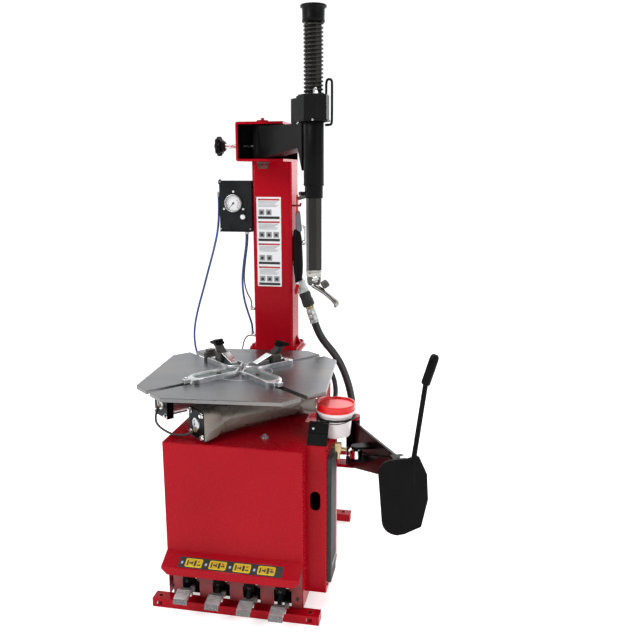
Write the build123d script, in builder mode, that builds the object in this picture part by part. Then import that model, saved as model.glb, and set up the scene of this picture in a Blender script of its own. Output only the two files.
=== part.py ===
"""Swing-arm tire changer. Millimetres, +Z up, +X to the operator's right, -Y towards the operator.

The origin is the centre of the four anchor-bolt holes, on the floor.
"""
from build123d import *
from math import atan2, cos, degrees, hypot, pi, radians, sin
import os

os.makedirs("parts", exist_ok=True)

# ---------------------------------------------------------------- driving dimensions
SHEET = 2.5                    # cabinet sheet
CAB_HALF = 206.5               # half width of the cabinet
CAB_FRONT, CAB_REAR = -302.0, 398.0
CAB_TOP = 518.0
WALL_X, STEP_Y = 165.0, -66.0  # the right wall steps in behind the side box
BAR_H = 28.0                   # height of the base bars
ANCHOR_X, ANCHOR_Y = 229.0, 310.0
ANCHOR_R, BOSS_R = 6.0, 11.0
BAR_LEFT, BAR_RIGHT = -250.0, 258.0
BAR_DEPTH = 38.0
LEDGE_TOP, LEDGE_LOW = 178.5, 95.0
LEDGE_OUT = 50.0               # how far the pedal ledge stands out

TABLE_X, TABLE_Y = -45.5, -26.0
TABLE_TOP, TABLE_T = 656.5, 12.0
TABLE_SIDE, TABLE_CUT = 567.0, 110.0
TABLE_TURN = 4.4               # rest angle of the table, degrees
SLOT_W, SLOT_IN = 23.0, 72.0
HUB_R, SPINDLE_R = 70.0, 22.0
CLAMP_IN, CLAMP_OUT = 40.0, 186.0
CLAMP_W, CLAMP_H = 62.0, 17.0
CYL_ANGLE, CYL_OFFSET, CYL_SHIFT = 49.4, 114.0, -29.3
CYL_LEN, CYL_R, CYL_Z = 360.0, 38.0, 570.0
CAP_SIDE, CAP_T = 84.0, 22.0

COL_X, COL_W = -33.0, 142.0
COL_FRONT, COL_REAR = 320.0, 430.0
COL_FOOT, COL_TOP = 640.0, 1310.0
HEAD_LOW, HEAD_HIGH, HEAD_T = 1310.0, 1437.0, 8.0
HEAD_LEFT = -123.0
PIVOT_X, PIVOT_Y = -44.0, 258.0
SHAFT_X, SHAFT_Y = 181.0, -2.0
SLEEVE_LOW, SLEEVE_HIGH, SLEEVE_R = 1200.0, 1419.0, 30.0
HEX_AF = 41.0                  # across the flats of the tool shaft
HEX_LOW = 985.0
COVER_TOP = 1495.0
SPRING_TOP, SPRING_R, WIRE_R = 1690.0, 27.0, 2.7
CAP_TOP = 1738.0

HINGE_X, HINGE_Y = 265.0, 298.0        # bead-breaker arm hinge
BLADE_X, BLADE_Y = 480.0, -252.0       # blade pivot
LUG_ALONG, LUG_SIDE = 250.0, 50.0      # rod lug, along and beside the arm
ROD_Z = 379.0
TRUNNION_X = -160.0

BUCKET_X, BUCKET_Y = 277.0, -157.0
BUCKET_LOW, BUCKET_HIGH = 520.0, 606.0

PEDALS = [(-137.0, 72.0), (-43.0, 66.0), (51.0, 59.0), (145.0, 52.0)]   # x and pad height
PEDAL_AXIS_Y, PEDAL_AXIS_Z = -240.0, 96.0


# ---------------------------------------------------------------- helpers
def finish(piece, label):
    """Label a finished sub-part and write its STEP file."""
    piece.part.label = label
    export_step(piece.part, f"parts/{label}.step")


def block(x0, x1, y0, y1, z0, z1):
    """A box between two corners, added to the current part."""
    with Locations(((x0 + x1) / 2, (y0 + y1) / 2, (z0 + z1) / 2)):
        Box(x1 - x0, y1 - y0, z1 - z0)


def cut_block(x0, x1, y0, y1, z0, z1):
    """The same box taken away from the current part."""
    with Locations(((x0 + x1) / 2, (y0 + y1) / 2, (z0 + z1) / 2)):
        Box(x1 - x0, y1 - y0, z1 - z0, mode=Mode.SUBTRACT)


def rod(start, end, radius, mode=Mode.ADD):
    """A round bar between two points."""
    axis = Vector(*end) - Vector(*start)
    with BuildSketch(Plane(origin=start, z_dir=axis)) as section:
        Circle(radius)
    extrude(section.sketch, amount=axis.length, mode=mode)


def disc(x, y, z0, z1, radius, mode=Mode.ADD):
    """An upright cylinder."""
    with Locations((x, y, (z0 + z1) / 2)):
        Cylinder(radius, z1 - z0, mode=mode)


def bolt_head(x, y, z, size=6.5, height=5.0):
    """A hexagon head standing on a level face."""
    with BuildSketch(Plane.XY.offset(z)) as section:
        with Locations((x, y)):
            RegularPolygon(size, 6)
    extrude(section.sketch, amount=height)


def bend_radii(points):
    """Arc radius at each corner: 0.45 of the shorter run over the tangent of half the turn."""
    radii = []
    for a, b, c in zip(points, points[1:], points[2:]):
        run_in = Vector(*b) - Vector(*a)
        run_out = Vector(*c) - Vector(*b)
        half = radians(run_in.get_angle(run_out)) / 2
        radii.append(0.45 * min(run_in.length, run_out.length) * cos(half) / sin(half))
    return radii


def hose(label, diameter, *routes):
    """Hoses or air lines of one node: straight runs joined by tangent arcs."""
    with BuildPart() as tubes:
        for points in routes:
            radii = bend_radii(points)
            with BuildLine() as path:
                FilletPolyline(*points, radius=radii)
            with BuildSketch(Plane(origin=points[0], z_dir=path.line % 0)) as section:
                Circle(diameter / 2)
            before = tubes.part.volume if tubes.part else 0
            sweep(section.sketch, path=path.line)
            length = sum(run.length for run in path.line.edges())
            expected = length * pi * diameter ** 2 / 4
            print(f"{label}: length {length:.0f},"
                  f" volume ratio {(tubes.part.volume - before) / expected:.3f},"
                  f" radii in diameters {[round(r / diameter, 1) for r in radii]}")
    finish(tubes, label)


def turned(x, y, angle, cx=TABLE_X, cy=TABLE_Y):
    """A point given in table axes, moved to the world."""
    c, s = cos(radians(angle)), sin(radians(angle))
    return cx + x * c - y * s, cy + x * s + y * c


# ---------------------------------------------------------------- base
with BuildPart() as base_bars:
    for y_side in (-1, 1):
        y0, y1 = sorted((y_side * (ANCHOR_Y + 18), y_side * (ANCHOR_Y + 18 - BAR_DEPTH)))
        block(BAR_LEFT, BAR_RIGHT, y0, y1, 0, BAR_H)
        cut_block(BAR_LEFT + 4, BAR_RIGHT - 4, y0 + 4, y1 - 4, -1, BAR_H - 4)
        for x in (-ANCHOR_X, ANCHOR_X):
            disc(x, y_side * ANCHOR_Y, 0, BAR_H - 4, BOSS_R)
            disc(x, y_side * ANCHOR_Y, -1, BAR_H + 1, ANCHOR_R, Mode.SUBTRACT)
            wall = sorted((y_side * (ANCHOR_Y + 13), y_side * (ANCHOR_Y + 19)))
            cut_block(x - 9, x + 9, wall[0], wall[1], 7, 20)
finish(base_bars, "base_bars")

# ---------------------------------------------------------------- cabinet
LIP_LOW = 127.0                # lower edge of the ledge's lip
with BuildPart() as front_panel:
    with BuildSketch(Plane.YZ.offset(-CAB_HALF)):
        with BuildLine():
            Polyline(
                (CAB_FRONT, CAB_TOP - SHEET), (CAB_FRONT, LEDGE_TOP),
                (CAB_FRONT - LEDGE_OUT, 152), (CAB_FRONT - LEDGE_OUT, LIP_LOW),
                (CAB_FRONT - LEDGE_OUT + 8, LIP_LOW - 5), (CAB_FRONT - LEDGE_OUT + 9, LIP_LOW - 3),
                (CAB_FRONT - LEDGE_OUT + SHEET, LIP_LOW + 1), (CAB_FRONT - LEDGE_OUT + SHEET, 150.3),
                (CAB_FRONT + SHEET, LEDGE_TOP - 1.6), (CAB_FRONT + SHEET, CAB_TOP - SHEET),
                (CAB_FRONT, CAB_TOP - SHEET),
            )
        make_face()
    extrude(amount=2 * CAB_HALF)
    for x_side in (-1, 1):
        with BuildSketch(Plane.XZ.offset(-CAB_FRONT + 2)):
            with BuildLine():
                Polyline((x_side * 208, 146), (x_side * 208, 110), (x_side * 184, 110),
                         (x_side * 184, 122), (x_side * 208, 146))
            make_face()
        extrude(amount=LEDGE_OUT + 2, mode=Mode.SUBTRACT)
    block(-CAB_HALF + 14, CAB_HALF - SHEET, CAB_FRONT + SHEET, CAB_FRONT + 2 * SHEET, BAR_H + 0.2, 200)
    for pedal_x, _ in PEDALS:
        cut_block(pedal_x - 26, pedal_x + 26, CAB_FRONT + 1, CAB_FRONT + 10, BAR_H - 1, 82)
        cut_block(pedal_x - 18, pedal_x + 18, CAB_FRONT + 1, CAB_FRONT + 10, 80, 132)
finish(front_panel, "front_panel")

ARM_ANGLE = atan2(BLADE_Y - HINGE_Y, BLADE_X - HINGE_X)
ARM_LENGTH = hypot(BLADE_X - HINGE_X, BLADE_Y - HINGE_Y)


def on_arm(along, side=0.0):
    """A point along the breaker arm, and beside it towards the cabinet."""
    c, s = cos(ARM_ANGLE), sin(ARM_ANGLE)
    return HINGE_X + along * c + side * s, HINGE_Y + along * s - side * c


LUG_X, LUG_Y = on_arm(LUG_ALONG, LUG_SIDE)

with BuildPart() as left_panel:
    block(-CAB_HALF, -CAB_HALF + SHEET, CAB_FRONT + SHEET, CAB_REAR, BAR_H, CAB_TOP - SHEET)
    for row in range(6):
        z = 360 + 18 * row
        cut_block(-CAB_HALF - 1, -CAB_HALF + SHEET + 1, 180, 300, z, z + 6)
finish(left_panel, "left_panel")

with BuildPart() as right_panel:
    block(CAB_HALF - SHEET, CAB_HALF, CAB_FRONT + SHEET, STEP_Y, BAR_H, CAB_TOP - SHEET)
    block(WALL_X - SHEET, CAB_HALF, STEP_Y - SHEET, STEP_Y, BAR_H, CAB_TOP - SHEET)
    block(WALL_X - SHEET, WALL_X, STEP_Y - SHEET, CAB_REAR, BAR_H, CAB_TOP - SHEET)
    cut_block(WALL_X - 10, WALL_X + 10, LUG_Y - 75, LUG_Y + 80, ROD_Z - 58, ROD_Z + 58)
finish(right_panel, "right_panel")

with BuildPart() as rear_panel:
    block(-CAB_HALF + SHEET, WALL_X - SHEET, CAB_REAR - SHEET, CAB_REAR, BAR_H, CAB_TOP - SHEET)
finish(rear_panel, "rear_panel")

RISER_LEFT, RISER_RIGHT = COL_X - 88.0, COL_X + 88.0
RISER_FRONT, RISER_REAR = 304.0, CAB_REAR - 2.0
with BuildPart() as top_plate:
    block(-CAB_HALF, CAB_HALF, CAB_FRONT, STEP_Y, CAB_TOP - SHEET, CAB_TOP)
    block(-CAB_HALF, WALL_X, STEP_Y, CAB_REAR, CAB_TOP - SHEET, CAB_TOP)
    disc(TABLE_X, TABLE_Y, CAB_TOP - 5, CAB_TOP + 5, 34, Mode.SUBTRACT)
    bolt_head(76, -217, CAB_TOP, 8, 9)
    bolt_head(-110, -230, CAB_TOP, 7, 5)
    # riser that carries the column
    block(RISER_LEFT, RISER_RIGHT, RISER_FRONT, RISER_REAR, CAB_TOP, COL_FOOT - 10)
    cut_block(RISER_LEFT + 5, RISER_RIGHT - 5, RISER_FRONT + 5, RISER_REAR - 5, CAB_TOP - 1, COL_FOOT - 20)
    block(RISER_LEFT - 6, RISER_RIGHT + 6, RISER_FRONT - 4, COL_REAR + 14, COL_FOOT - 10, COL_FOOT)
finish(top_plate, "top_plate")

# Side box on the right wall, with its obround access hole
BOX_X, BOX_FRONT, BOX_REAR, BOX_LOW = 266.0, -252.0, -66.0, 58.0
with BuildPart() as side_cover:
    block(CAB_HALF, BOX_X, BOX_FRONT, BOX_REAR, BOX_LOW, CAB_TOP)
    cut_block(CAB_HALF - 1, BOX_X - SHEET, BOX_FRONT + SHEET, BOX_REAR - SHEET,
              BOX_LOW + SHEET, CAB_TOP - SHEET)
    with BuildSketch(Plane.XZ.offset(-BOX_FRONT + 1)):
        with Locations((233, 349)):
            SlotOverall(59, 30, rotation=90)
    extrude(amount=-6, mode=Mode.SUBTRACT)
    edges = side_cover.edges().filter_by(Axis.Z).group_by(Axis.X)[-1].group_by(Axis.Y)[0]
    fillet(edges, 4)
finish(side_cover, "side_cover")

with BuildPart() as sloped_guard:
    with BuildSketch(Plane.YZ.offset(CAB_HALF + 1)):
        with BuildLine():
            Polyline((BOX_FRONT + 1, CAB_TOP), (BOX_FRONT + 44, 576), (BOX_FRONT + 47, 574),
                     (BOX_FRONT + 5, CAB_TOP), (BOX_FRONT + 1, CAB_TOP))
        make_face()
    extrude(amount=58)
finish(sloped_guard, "sloped_guard")

with BuildPart() as rubber_pad:
    block(BOX_X + 0.5, 279, -246, -160, 90, 478)
    fillet(rubber_pad.edges().filter_by(Axis.Z).group_by(Axis.X)[-1], 4)
finish(rubber_pad, "rubber_pad")

# ---------------------------------------------------------------- drive inside the cabinet
BELT_Y = 120.0
WORM_X, WORM_Z = TABLE_X + 62.0, 215.0
MOTOR_X, MOTOR_Z = WORM_X + 80.0, 108.0
with BuildPart() as gearbox:
    block(TABLE_X - 85, TABLE_X + 95, TABLE_Y - 80, TABLE_Y + 80, 160, 270)
    disc(TABLE_X, TABLE_Y, 270, CAB_TOP - SHEET, 26)
    disc(TABLE_X, TABLE_Y, 180, CAB_TOP + 2, SPINDLE_R + 0.05, Mode.SUBTRACT)
    rod((WORM_X, TABLE_Y - 90, WORM_Z), (WORM_X, BELT_Y + 20, WORM_Z), 12)
finish(gearbox, "gearbox")

with BuildPart() as gearbox_pulley:
    rod((WORM_X, BELT_Y - 14, WORM_Z), (WORM_X, BELT_Y + 14, WORM_Z), 62)
    rod((WORM_X, BELT_Y - 6, WORM_Z), (WORM_X, BELT_Y + 6, WORM_Z), 57)
    rod((WORM_X, BELT_Y - 16, WORM_Z), (WORM_X, BELT_Y + 16, WORM_Z), 12.06, Mode.SUBTRACT)
finish(gearbox_pulley, "gearbox_pulley")

with BuildPart() as drive_motor:
    rod((MOTOR_X, -120, MOTOR_Z), (MOTOR_X, 70, MOTOR_Z), 60)
    rod((MOTOR_X, 60, MOTOR_Z), (MOTOR_X, BELT_Y + 20, MOTOR_Z), 9)
    block(MOTOR_X - 56, MOTOR_X + 56, -100, 50, BAR_H + 1, 60)
finish(drive_motor, "drive_motor")

with BuildPart() as motor_pulley:
    rod((MOTOR_X, BELT_Y - 14, MOTOR_Z), (MOTOR_X, BELT_Y + 14, MOTOR_Z), 30)
    rod((MOTOR_X, BELT_Y - 16, MOTOR_Z), (MOTOR_X, BELT_Y + 16, MOTOR_Z), 9.06, Mode.SUBTRACT)
finish(motor_pulley, "motor_pulley")

# ---------------------------------------------------------------- pedals
with BuildPart() as pedal_shaft:
    rod((-CAB_HALF + SHEET, PEDAL_AXIS_Y, PEDAL_AXIS_Z), (CAB_HALF - SHEET, PEDAL_AXIS_Y, PEDAL_AXIS_Z), 7)
finish(pedal_shaft, "pedal_shaft")

for number, (pedal_x, pad_z) in enumerate(PEDALS, 1):
    with BuildPart() as pedal:
        with BuildSketch(Plane.YZ.offset(pedal_x - 6)):
            with BuildLine():
                Polyline((-226, 84), (-226, 108), (-262, 108), (-320, 96), (-342, pad_z + 12),
                         (-342, pad_z - 2), (-300, 74), (-226, 84))
            make_face()
        extrude(amount=12)
        rod((pedal_x - 14, PEDAL_AXIS_Y, PEDAL_AXIS_Z), (pedal_x + 14, PEDAL_AXIS_Y, PEDAL_AXIS_Z), 12)
        block(pedal_x - 15, pedal_x + 15, -324, -319, 84, 124)
        cut_block(pedal_x - 9, pedal_x + 9, -326, -317, 108, 117)
        rod((pedal_x - 16, PEDAL_AXIS_Y, PEDAL_AXIS_Z), (pedal_x + 16, PEDAL_AXIS_Y, PEDAL_AXIS_Z),
            7.06, Mode.SUBTRACT)
        block(pedal_x - 17, pedal_x + 21, -352, -340, pad_z - 8, pad_z + 12)
        with BuildSketch(Plane.YZ.offset(pedal_x - 21)):
            with BuildLine():
                Polyline((-350, pad_z + 12), (-350, pad_z + 5), (-380, pad_z - 3), (-385, pad_z - 13),
                         (-391, pad_z - 11), (-386, pad_z + 3), (-350, pad_z + 12))
            make_face()
        extrude(amount=42)
    finish(pedal, f"pedal_{number}")

# ---------------------------------------------------------------- turntable
CORNERS = [(1, 1), (-1, 1), (-1, -1), (1, -1)]
with BuildPart() as turntable:
    with BuildSketch(Plane.XY.offset(TABLE_TOP - TABLE_T)):
        with Locations(Location((TABLE_X, TABLE_Y, 0), (0, 0, TABLE_TURN))):
            Rectangle(TABLE_SIDE, TABLE_SIDE)
        chamfer(vertices(), TABLE_CUT)
        for k in range(4):
            mid = (SLOT_IN + 360) / 2
            x, y = turned(mid, 0, TABLE_TURN + 45 + 90 * k)
            with Locations(Location((x, y, 0), (0, 0, TABLE_TURN + 45 + 90 * k))):
                Rectangle(360 - SLOT_IN, SLOT_W, mode=Mode.SUBTRACT)
    extrude(amount=TABLE_T)
    chamfer(turntable.faces().sort_by(Axis.Z)[-1].outer_wire().edges(), 0.8)
finish(turntable, "turntable")

with BuildPart() as spindle:
    disc(TABLE_X, TABLE_Y, 190, 622, SPINDLE_R)
    disc(TABLE_X, TABLE_Y, 620, TABLE_TOP - TABLE_T, HUB_R)
    for x_side, y_side in CORNERS:
        x, y = turned(x_side * 40, y_side * 40, TABLE_TURN + 45)
        disc(x, y, 618, 622, 6)
finish(spindle, "spindle")

with BuildPart() as clamp_cylinders:
    for side in (-1, 1):
        ax, ay = turned(CYL_SHIFT - CYL_LEN / 2, -side * CYL_OFFSET, CYL_ANGLE)
        bx, by = turned(CYL_SHIFT + CYL_LEN / 2, -side * CYL_OFFSET, CYL_ANGLE)
        rod((ax, ay, CYL_Z), (bx, by, CYL_Z), CYL_R)
        for end in (-1, 1):
            middle = CYL_SHIFT + end * (CYL_LEN + CAP_T) / 2
            cx, cy = turned(middle, -side * CYL_OFFSET, CYL_ANGLE)
            with Locations(Location((cx, cy, CYL_Z), (0, 0, CYL_ANGLE))):
                Box(CAP_T, CAP_SIDE, CAP_SIDE)
        for along in (-90, 110):
            cx, cy = turned(CYL_SHIFT + along, -side * CYL_OFFSET, CYL_ANGLE)
            low, high = CYL_Z + 20, TABLE_TOP - TABLE_T
            with Locations(Location((cx, cy, (low + high) / 2), (0, 0, CYL_ANGLE))):
                Box(30, 24, high - low)
        sx, sy = turned(CYL_SHIFT + CYL_LEN / 2 + 8, -side * CYL_OFFSET, CYL_ANGLE)
        ex, ey = turned(CYL_SHIFT - CYL_LEN / 2 + 8, -side * CYL_OFFSET, CYL_ANGLE)
        rod((ex, ey, CYL_Z), (sx, sy, CYL_Z), CYL_R - 4, Mode.SUBTRACT)
        fx, fy = turned(CYL_SHIFT + CYL_LEN / 2 + CAP_T + 2, -side * CYL_OFFSET, CYL_ANGLE)
        rod((sx, sy, CYL_Z), (fx, fy, CYL_Z), 9.06, Mode.SUBTRACT)
finish(clamp_cylinders, "clamp_cylinders")

ROD_TIP = CYL_SHIFT + CYL_LEN / 2 + CAP_T + 20
with BuildPart() as clamp_rods:
    for side in (-1, 1):
        ax, ay = turned(CYL_SHIFT - CYL_LEN / 2 + 40, -side * CYL_OFFSET, CYL_ANGLE)
        px, py = turned(CYL_SHIFT - CYL_LEN / 2 + 58, -side * CYL_OFFSET, CYL_ANGLE)
        bx, by = turned(ROD_TIP, -side * CYL_OFFSET, CYL_ANGLE)
        rod((ax, ay, CYL_Z), (px, py, CYL_Z), CYL_R - 4.3)
        rod((ax, ay, CYL_Z), (bx, by, CYL_Z), 9)
        hx, hy = turned(ROD_TIP + 4, -side * CYL_OFFSET, CYL_ANGLE)
        disc(hx, hy, CYL_Z - 12, CYL_Z + 12, 12)
finish(clamp_rods, "clamp_rods")

# Four clamps: a slide on the table top, its guide in the slot, and a jaw at the outer end
for k, name in enumerate(("rear_right", "rear_left", "front_left", "front_right")):
    angle = TABLE_TURN + 45 + 90 * k
    low = TABLE_TOP + 0.3
    with BuildPart() as clamp:
        with BuildSketch(Plane.XY.offset(low)):
            nx, ny = turned((CLAMP_IN + CLAMP_OUT) / 2, 0, angle)
            with Locations(Location((nx, ny, 0), (0, 0, angle))):
                SlotOverall(CLAMP_OUT - CLAMP_IN + 12, CLAMP_W)
                with Locations((-40, 0)):
                    Rectangle(CLAMP_OUT - CLAMP_IN - 82, CLAMP_W)
        extrude(amount=CLAMP_H)
        with BuildSketch(Plane.XY.offset(low + CLAMP_H - 7)):
            with Locations(Location((nx, ny, 0), (0, 0, angle))):
                SlotOverall(CLAMP_OUT - CLAMP_IN - 6, CLAMP_W - 14)
        extrude(amount=8, mode=Mode.SUBTRACT)
        gx, gy = turned(130, 0, angle)
        with Locations(Location((gx, gy, (632 + low) / 2), (0, 0, angle))):
            Box(80, SLOT_W - 1, low - 632)
        with Locations(Location((gx, gy, 636), (0, 0, angle))):
            Box(110, 44, 12)
        if k < 2:
            jx, jy = turned(168, 0, angle)
            with Locations(Location((jx, jy, low + CLAMP_H + 18), (0, 0, angle))):
                Box(26, 34, 52)
            with BuildSketch(Plane.XY.offset(low + CLAMP_H + 30)):
                with Locations(Location((jx, jy, 0), (0, 0, angle))):
                    Rectangle(36, 46)
            extrude(amount=12)
            tx, ty = turned(160, 0, angle)
            with Locations(Location((tx, ty, low + CLAMP_H + 49), (0, 0, angle))):
                Box(12, 46, 14)
        else:
            jx, jy = turned(197, 0, angle)
            with Locations(Location((jx, jy, low + 7), (0, 0, angle))):
                Box(24, 18, 13)
    finish(clamp, f"clamp_{name}")

# ---------------------------------------------------------------- column, head and swing arm
with BuildPart() as column:
    block(COL_X - COL_W / 2, COL_X + COL_W / 2, COL_FRONT, COL_REAR, COL_FOOT + 12, COL_TOP)
    fillet(column.edges().filter_by(Axis.Z), 10)
    cut_block(COL_X - COL_W / 2 + 5, COL_X + COL_W / 2 - 5, COL_FRONT + 5, COL_REAR - 5,
              COL_FOOT, COL_TOP + 1)
    block(COL_X - COL_W / 2 - 16, COL_X + COL_W / 2 + 16, COL_FRONT - 8, COL_REAR + 12,
          COL_FOOT, COL_FOOT + 12)
    for x_side in (-1, 1):
        x = COL_X + x_side * (COL_W / 2 + 8)
        with BuildSketch(Plane.XZ.offset(-392)):
            with BuildLine():
                Polyline((x - x_side * 8, COL_FOOT + 12), (x - x_side * 8, COL_FOOT + 44),
                         (x + x_side * 7, COL_FOOT + 12), (x - x_side * 8, COL_FOOT + 12))
            make_face()
        extrude(amount=6, both=True)
        for y in (COL_FRONT + 10, COL_REAR - 2):
            bolt_head(x, y, COL_FOOT + 12, 6, 7)
    rod((COL_X + COL_W / 2, 338, 1160), (66, 338, 1160), 3)
    rod((66, 338, 1157), (66, 338, 1170), 3)
finish(column, "column")

with BuildPart() as column_head:
    block(HEAD_LEFT, COL_X + COL_W / 2, 206, COL_REAR, HEAD_LOW, HEAD_HIGH)
    fillet(column_head.edges().filter_by(Axis.Y).group_by(Axis.X)[0], 7)
    cut_block(HEAD_LEFT + HEAD_T, 200, 200, COL_REAR - HEAD_T, HEAD_LOW + HEAD_T, HEAD_HIGH - HEAD_T)
    disc(PIVOT_X, PIVOT_Y, HEAD_LOW - 1, HEAD_HIGH + 1, 15, Mode.SUBTRACT)
    rod((HEAD_LEFT - 12, 278, 1361), (HEAD_LEFT, 278, 1361), 15)
    rod((HEAD_LEFT - 20, 278, 1361), (HEAD_LEFT + 20, 278, 1361), 8.0, Mode.SUBTRACT)
    # pivot pin through both plates, with its nut below and grease nipple above
    disc(PIVOT_X, PIVOT_Y, HEAD_LOW - 4, HEAD_HIGH, 15)
    bolt_head(PIVOT_X, PIVOT_Y, HEAD_LOW - 22, 17, 18)
    disc(PIVOT_X, PIVOT_Y, HEAD_HIGH, HEAD_HIGH + 3, 19)
    disc(PIVOT_X, PIVOT_Y, HEAD_HIGH + 3, HEAD_HIGH + 9, 5)
finish(column_head, "column_head")

SWING = atan2(SHAFT_Y - PIVOT_Y, SHAFT_X - PIVOT_X)
SWING_LEN = hypot(SHAFT_Y - PIVOT_Y, SHAFT_X - PIVOT_X)
arm_plane = Plane(origin=(PIVOT_X, PIVOT_Y, 0), x_dir=(cos(SWING), sin(SWING), 0),
                  z_dir=(sin(SWING), -cos(SWING), 0))
with BuildPart() as swing_arm:
    with BuildSketch(arm_plane):
        with BuildLine():
            Polyline((0, 1322), (0, 1425), (SWING_LEN - 150, 1418), (SWING_LEN - 24, 1418),
                     (SWING_LEN - 24, 1280), (SWING_LEN - 50, 1346), (60, 1322), (0, 1322))
        make_face()
    extrude(amount=28, both=True)
    disc(PIVOT_X, PIVOT_Y, HEAD_LOW + HEAD_T + 2, HEAD_HIGH - HEAD_T - 2, 34)
    disc(PIVOT_X, PIVOT_Y, HEAD_LOW, HEAD_HIGH, 15.05, Mode.SUBTRACT)
    disc(SHAFT_X, SHAFT_Y, 1200, 1440, SLEEVE_R, Mode.SUBTRACT)
finish(swing_arm, "swing_arm")

with BuildPart() as guide_sleeve:
    disc(SHAFT_X, SHAFT_Y, SLEEVE_LOW, SLEEVE_LOW + 40, SLEEVE_R - 3)
    disc(SHAFT_X, SHAFT_Y, SLEEVE_LOW + 36, SLEEVE_HIGH, SLEEVE_R)
    rod((SHAFT_X - SLEEVE_R - 9, SHAFT_Y, 1213), (SHAFT_X - 20, SHAFT_Y, 1213), 6)
    with BuildSketch(Plane.XY.offset(SLEEVE_LOW - 1)):
        with Locations((SHAFT_X, SHAFT_Y)):
            RegularPolygon(HEX_AF / 2 + 0.1, 6, major_radius=False)
    extrude(amount=SLEEVE_HIGH - SLEEVE_LOW + 2, mode=Mode.SUBTRACT)
    # clamping plate that grips the shaft inside the cover
    disc(SHAFT_X, SHAFT_Y, SLEEVE_HIGH, SLEEVE_HIGH + 4, 25)
    disc(SHAFT_X, SHAFT_Y, 1440, 1452, 37)
    with BuildSketch(Plane.XY.offset(SLEEVE_HIGH - 1)):
        with Locations((SHAFT_X, SHAFT_Y)):
            RegularPolygon(HEX_AF / 2 + 0.1, 6, major_radius=False)
    extrude(amount=40, mode=Mode.SUBTRACT)
finish(guide_sleeve, "guide_sleeve")

LOBE_X = SHAFT_X - 78 * cos(SWING)
LOBE_Y = SHAFT_Y - 78 * sin(SWING)
with BuildPart() as lock_cover:
    with BuildSketch(Plane.XY.offset(SLEEVE_HIGH + 0.5)):
        with Locations((SHAFT_X, SHAFT_Y)):
            RegularPolygon(46, 8, rotation=22.5 + degrees(SWING))
        with Locations((LOBE_X, LOBE_Y)):
            Circle(30)
        with Locations(Location(((SHAFT_X + LOBE_X) / 2, (SHAFT_Y + LOBE_Y) / 2, 0),
                                (0, 0, degrees(SWING)))):
            Rectangle(70, 60)
    extrude(amount=COVER_TOP - SLEEVE_HIGH - 0.5)
    with BuildSketch(Plane.XY.offset(COVER_TOP - 6)):
        with Locations((LOBE_X, LOBE_Y)):
            Circle(40)
    extrude(amount=10, mode=Mode.SUBTRACT)
    fillet(lock_cover.faces().sort_by(Axis.Z)[-1].edges(), 3)
    with BuildSketch(Plane.XY.offset(SLEEVE_HIGH + 0.5)):
        with Locations((SHAFT_X, SHAFT_Y)):
            RegularPolygon(49, 8, rotation=22.5 + degrees(SWING))
    extrude(amount=5)
    disc(SHAFT_X, SHAFT_Y, SLEEVE_HIGH - 1, COVER_TOP - 4, 40, Mode.SUBTRACT)
    disc(SHAFT_X, SHAFT_Y, COVER_TOP - 10, COVER_TOP + 5, 24.3, Mode.SUBTRACT)
finish(lock_cover, "lock_cover")

# Locking handle: a bent rod beside and over the cover, turning about the shaft
with BuildPart() as lock_lever:
    with BuildLine() as bend:
        FilletPolyline((SHAFT_X + 37, SHAFT_Y, COVER_TOP + 1), (SHAFT_X + 37, SHAFT_Y, 1534),
                       (SHAFT_X + 54, SHAFT_Y, 1534), (SHAFT_X + 54, SHAFT_Y, 1410),
                       (SHAFT_X + 34, SHAFT_Y, 1410), radius=8)
    with BuildSketch(Plane(origin=(SHAFT_X + 37, SHAFT_Y, COVER_TOP + 1), z_dir=(0, 0, 1))):
        Circle(3.2)
    sweep()
finish(lock_lever, "lock_lever")

with BuildPart() as tool_shaft:
    with BuildSketch(Plane.XY.offset(HEX_LOW)):
        with Locations((SHAFT_X, SHAFT_Y)):
            RegularPolygon(HEX_AF / 2, 6, major_radius=False)
    extrude(amount=SPRING_TOP - HEX_LOW)
    disc(SHAFT_X, SHAFT_Y, SPRING_TOP, CAP_TOP - 14, 14)
finish(tool_shaft, "tool_shaft")

COILS = 17
with BuildPart() as return_spring:
    rise = SPRING_TOP - COVER_TOP - 2 * WIRE_R - 1.0
    with BuildLine() as coil:
        Helix(pitch=rise / COILS, height=rise, radius=SPRING_R,
              center=(SHAFT_X, SHAFT_Y, COVER_TOP + WIRE_R + 0.5))
    with BuildSketch(Plane(origin=coil.line @ 0, z_dir=coil.line % 0)):
        Circle(WIRE_R)
    sweep()
finish(return_spring, "return_spring")

with BuildPart() as shaft_cap:
    disc(SHAFT_X, SHAFT_Y, SPRING_TOP, CAP_TOP - 8, 33)
    disc(SHAFT_X, SHAFT_Y, CAP_TOP - 8, CAP_TOP, 39)
    fillet(shaft_cap.faces().sort_by(Axis.Z)[-1].edges(), 2.5)
    disc(SHAFT_X, SHAFT_Y, SPRING_TOP - 1, CAP_TOP - 14, 14.05, Mode.SUBTRACT)
finish(shaft_cap, "shaft_cap")

with BuildPart() as mount_head:
    disc(SHAFT_X, SHAFT_Y, 958, HEX_LOW, 23)
    disc(SHAFT_X, SHAFT_Y, 940, 960, 20)
    rod((SHAFT_X, SHAFT_Y - 30, 962), (SHAFT_X, SHAFT_Y, 962), 12)
    rod((SHAFT_X, SHAFT_Y, 948), (SHAFT_X + 30, SHAFT_Y, 938), 14)
    with BuildLine() as beak:
        FilletPolyline((SHAFT_X - 8, SHAFT_Y - 12, 936), (SHAFT_X + 20, SHAFT_Y - 12, 926),
                       (SHAFT_X + 64, SHAFT_Y - 12, 906), (SHAFT_X + 73, SHAFT_Y - 12, 880), radius=9)
    with BuildSketch(Plane(origin=beak.line @ 0, z_dir=beak.line % 0)):
        Rectangle(10, 26)
        fillet(vertices(), 3)
    sweep()
finish(mount_head, "mount_head")

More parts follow.
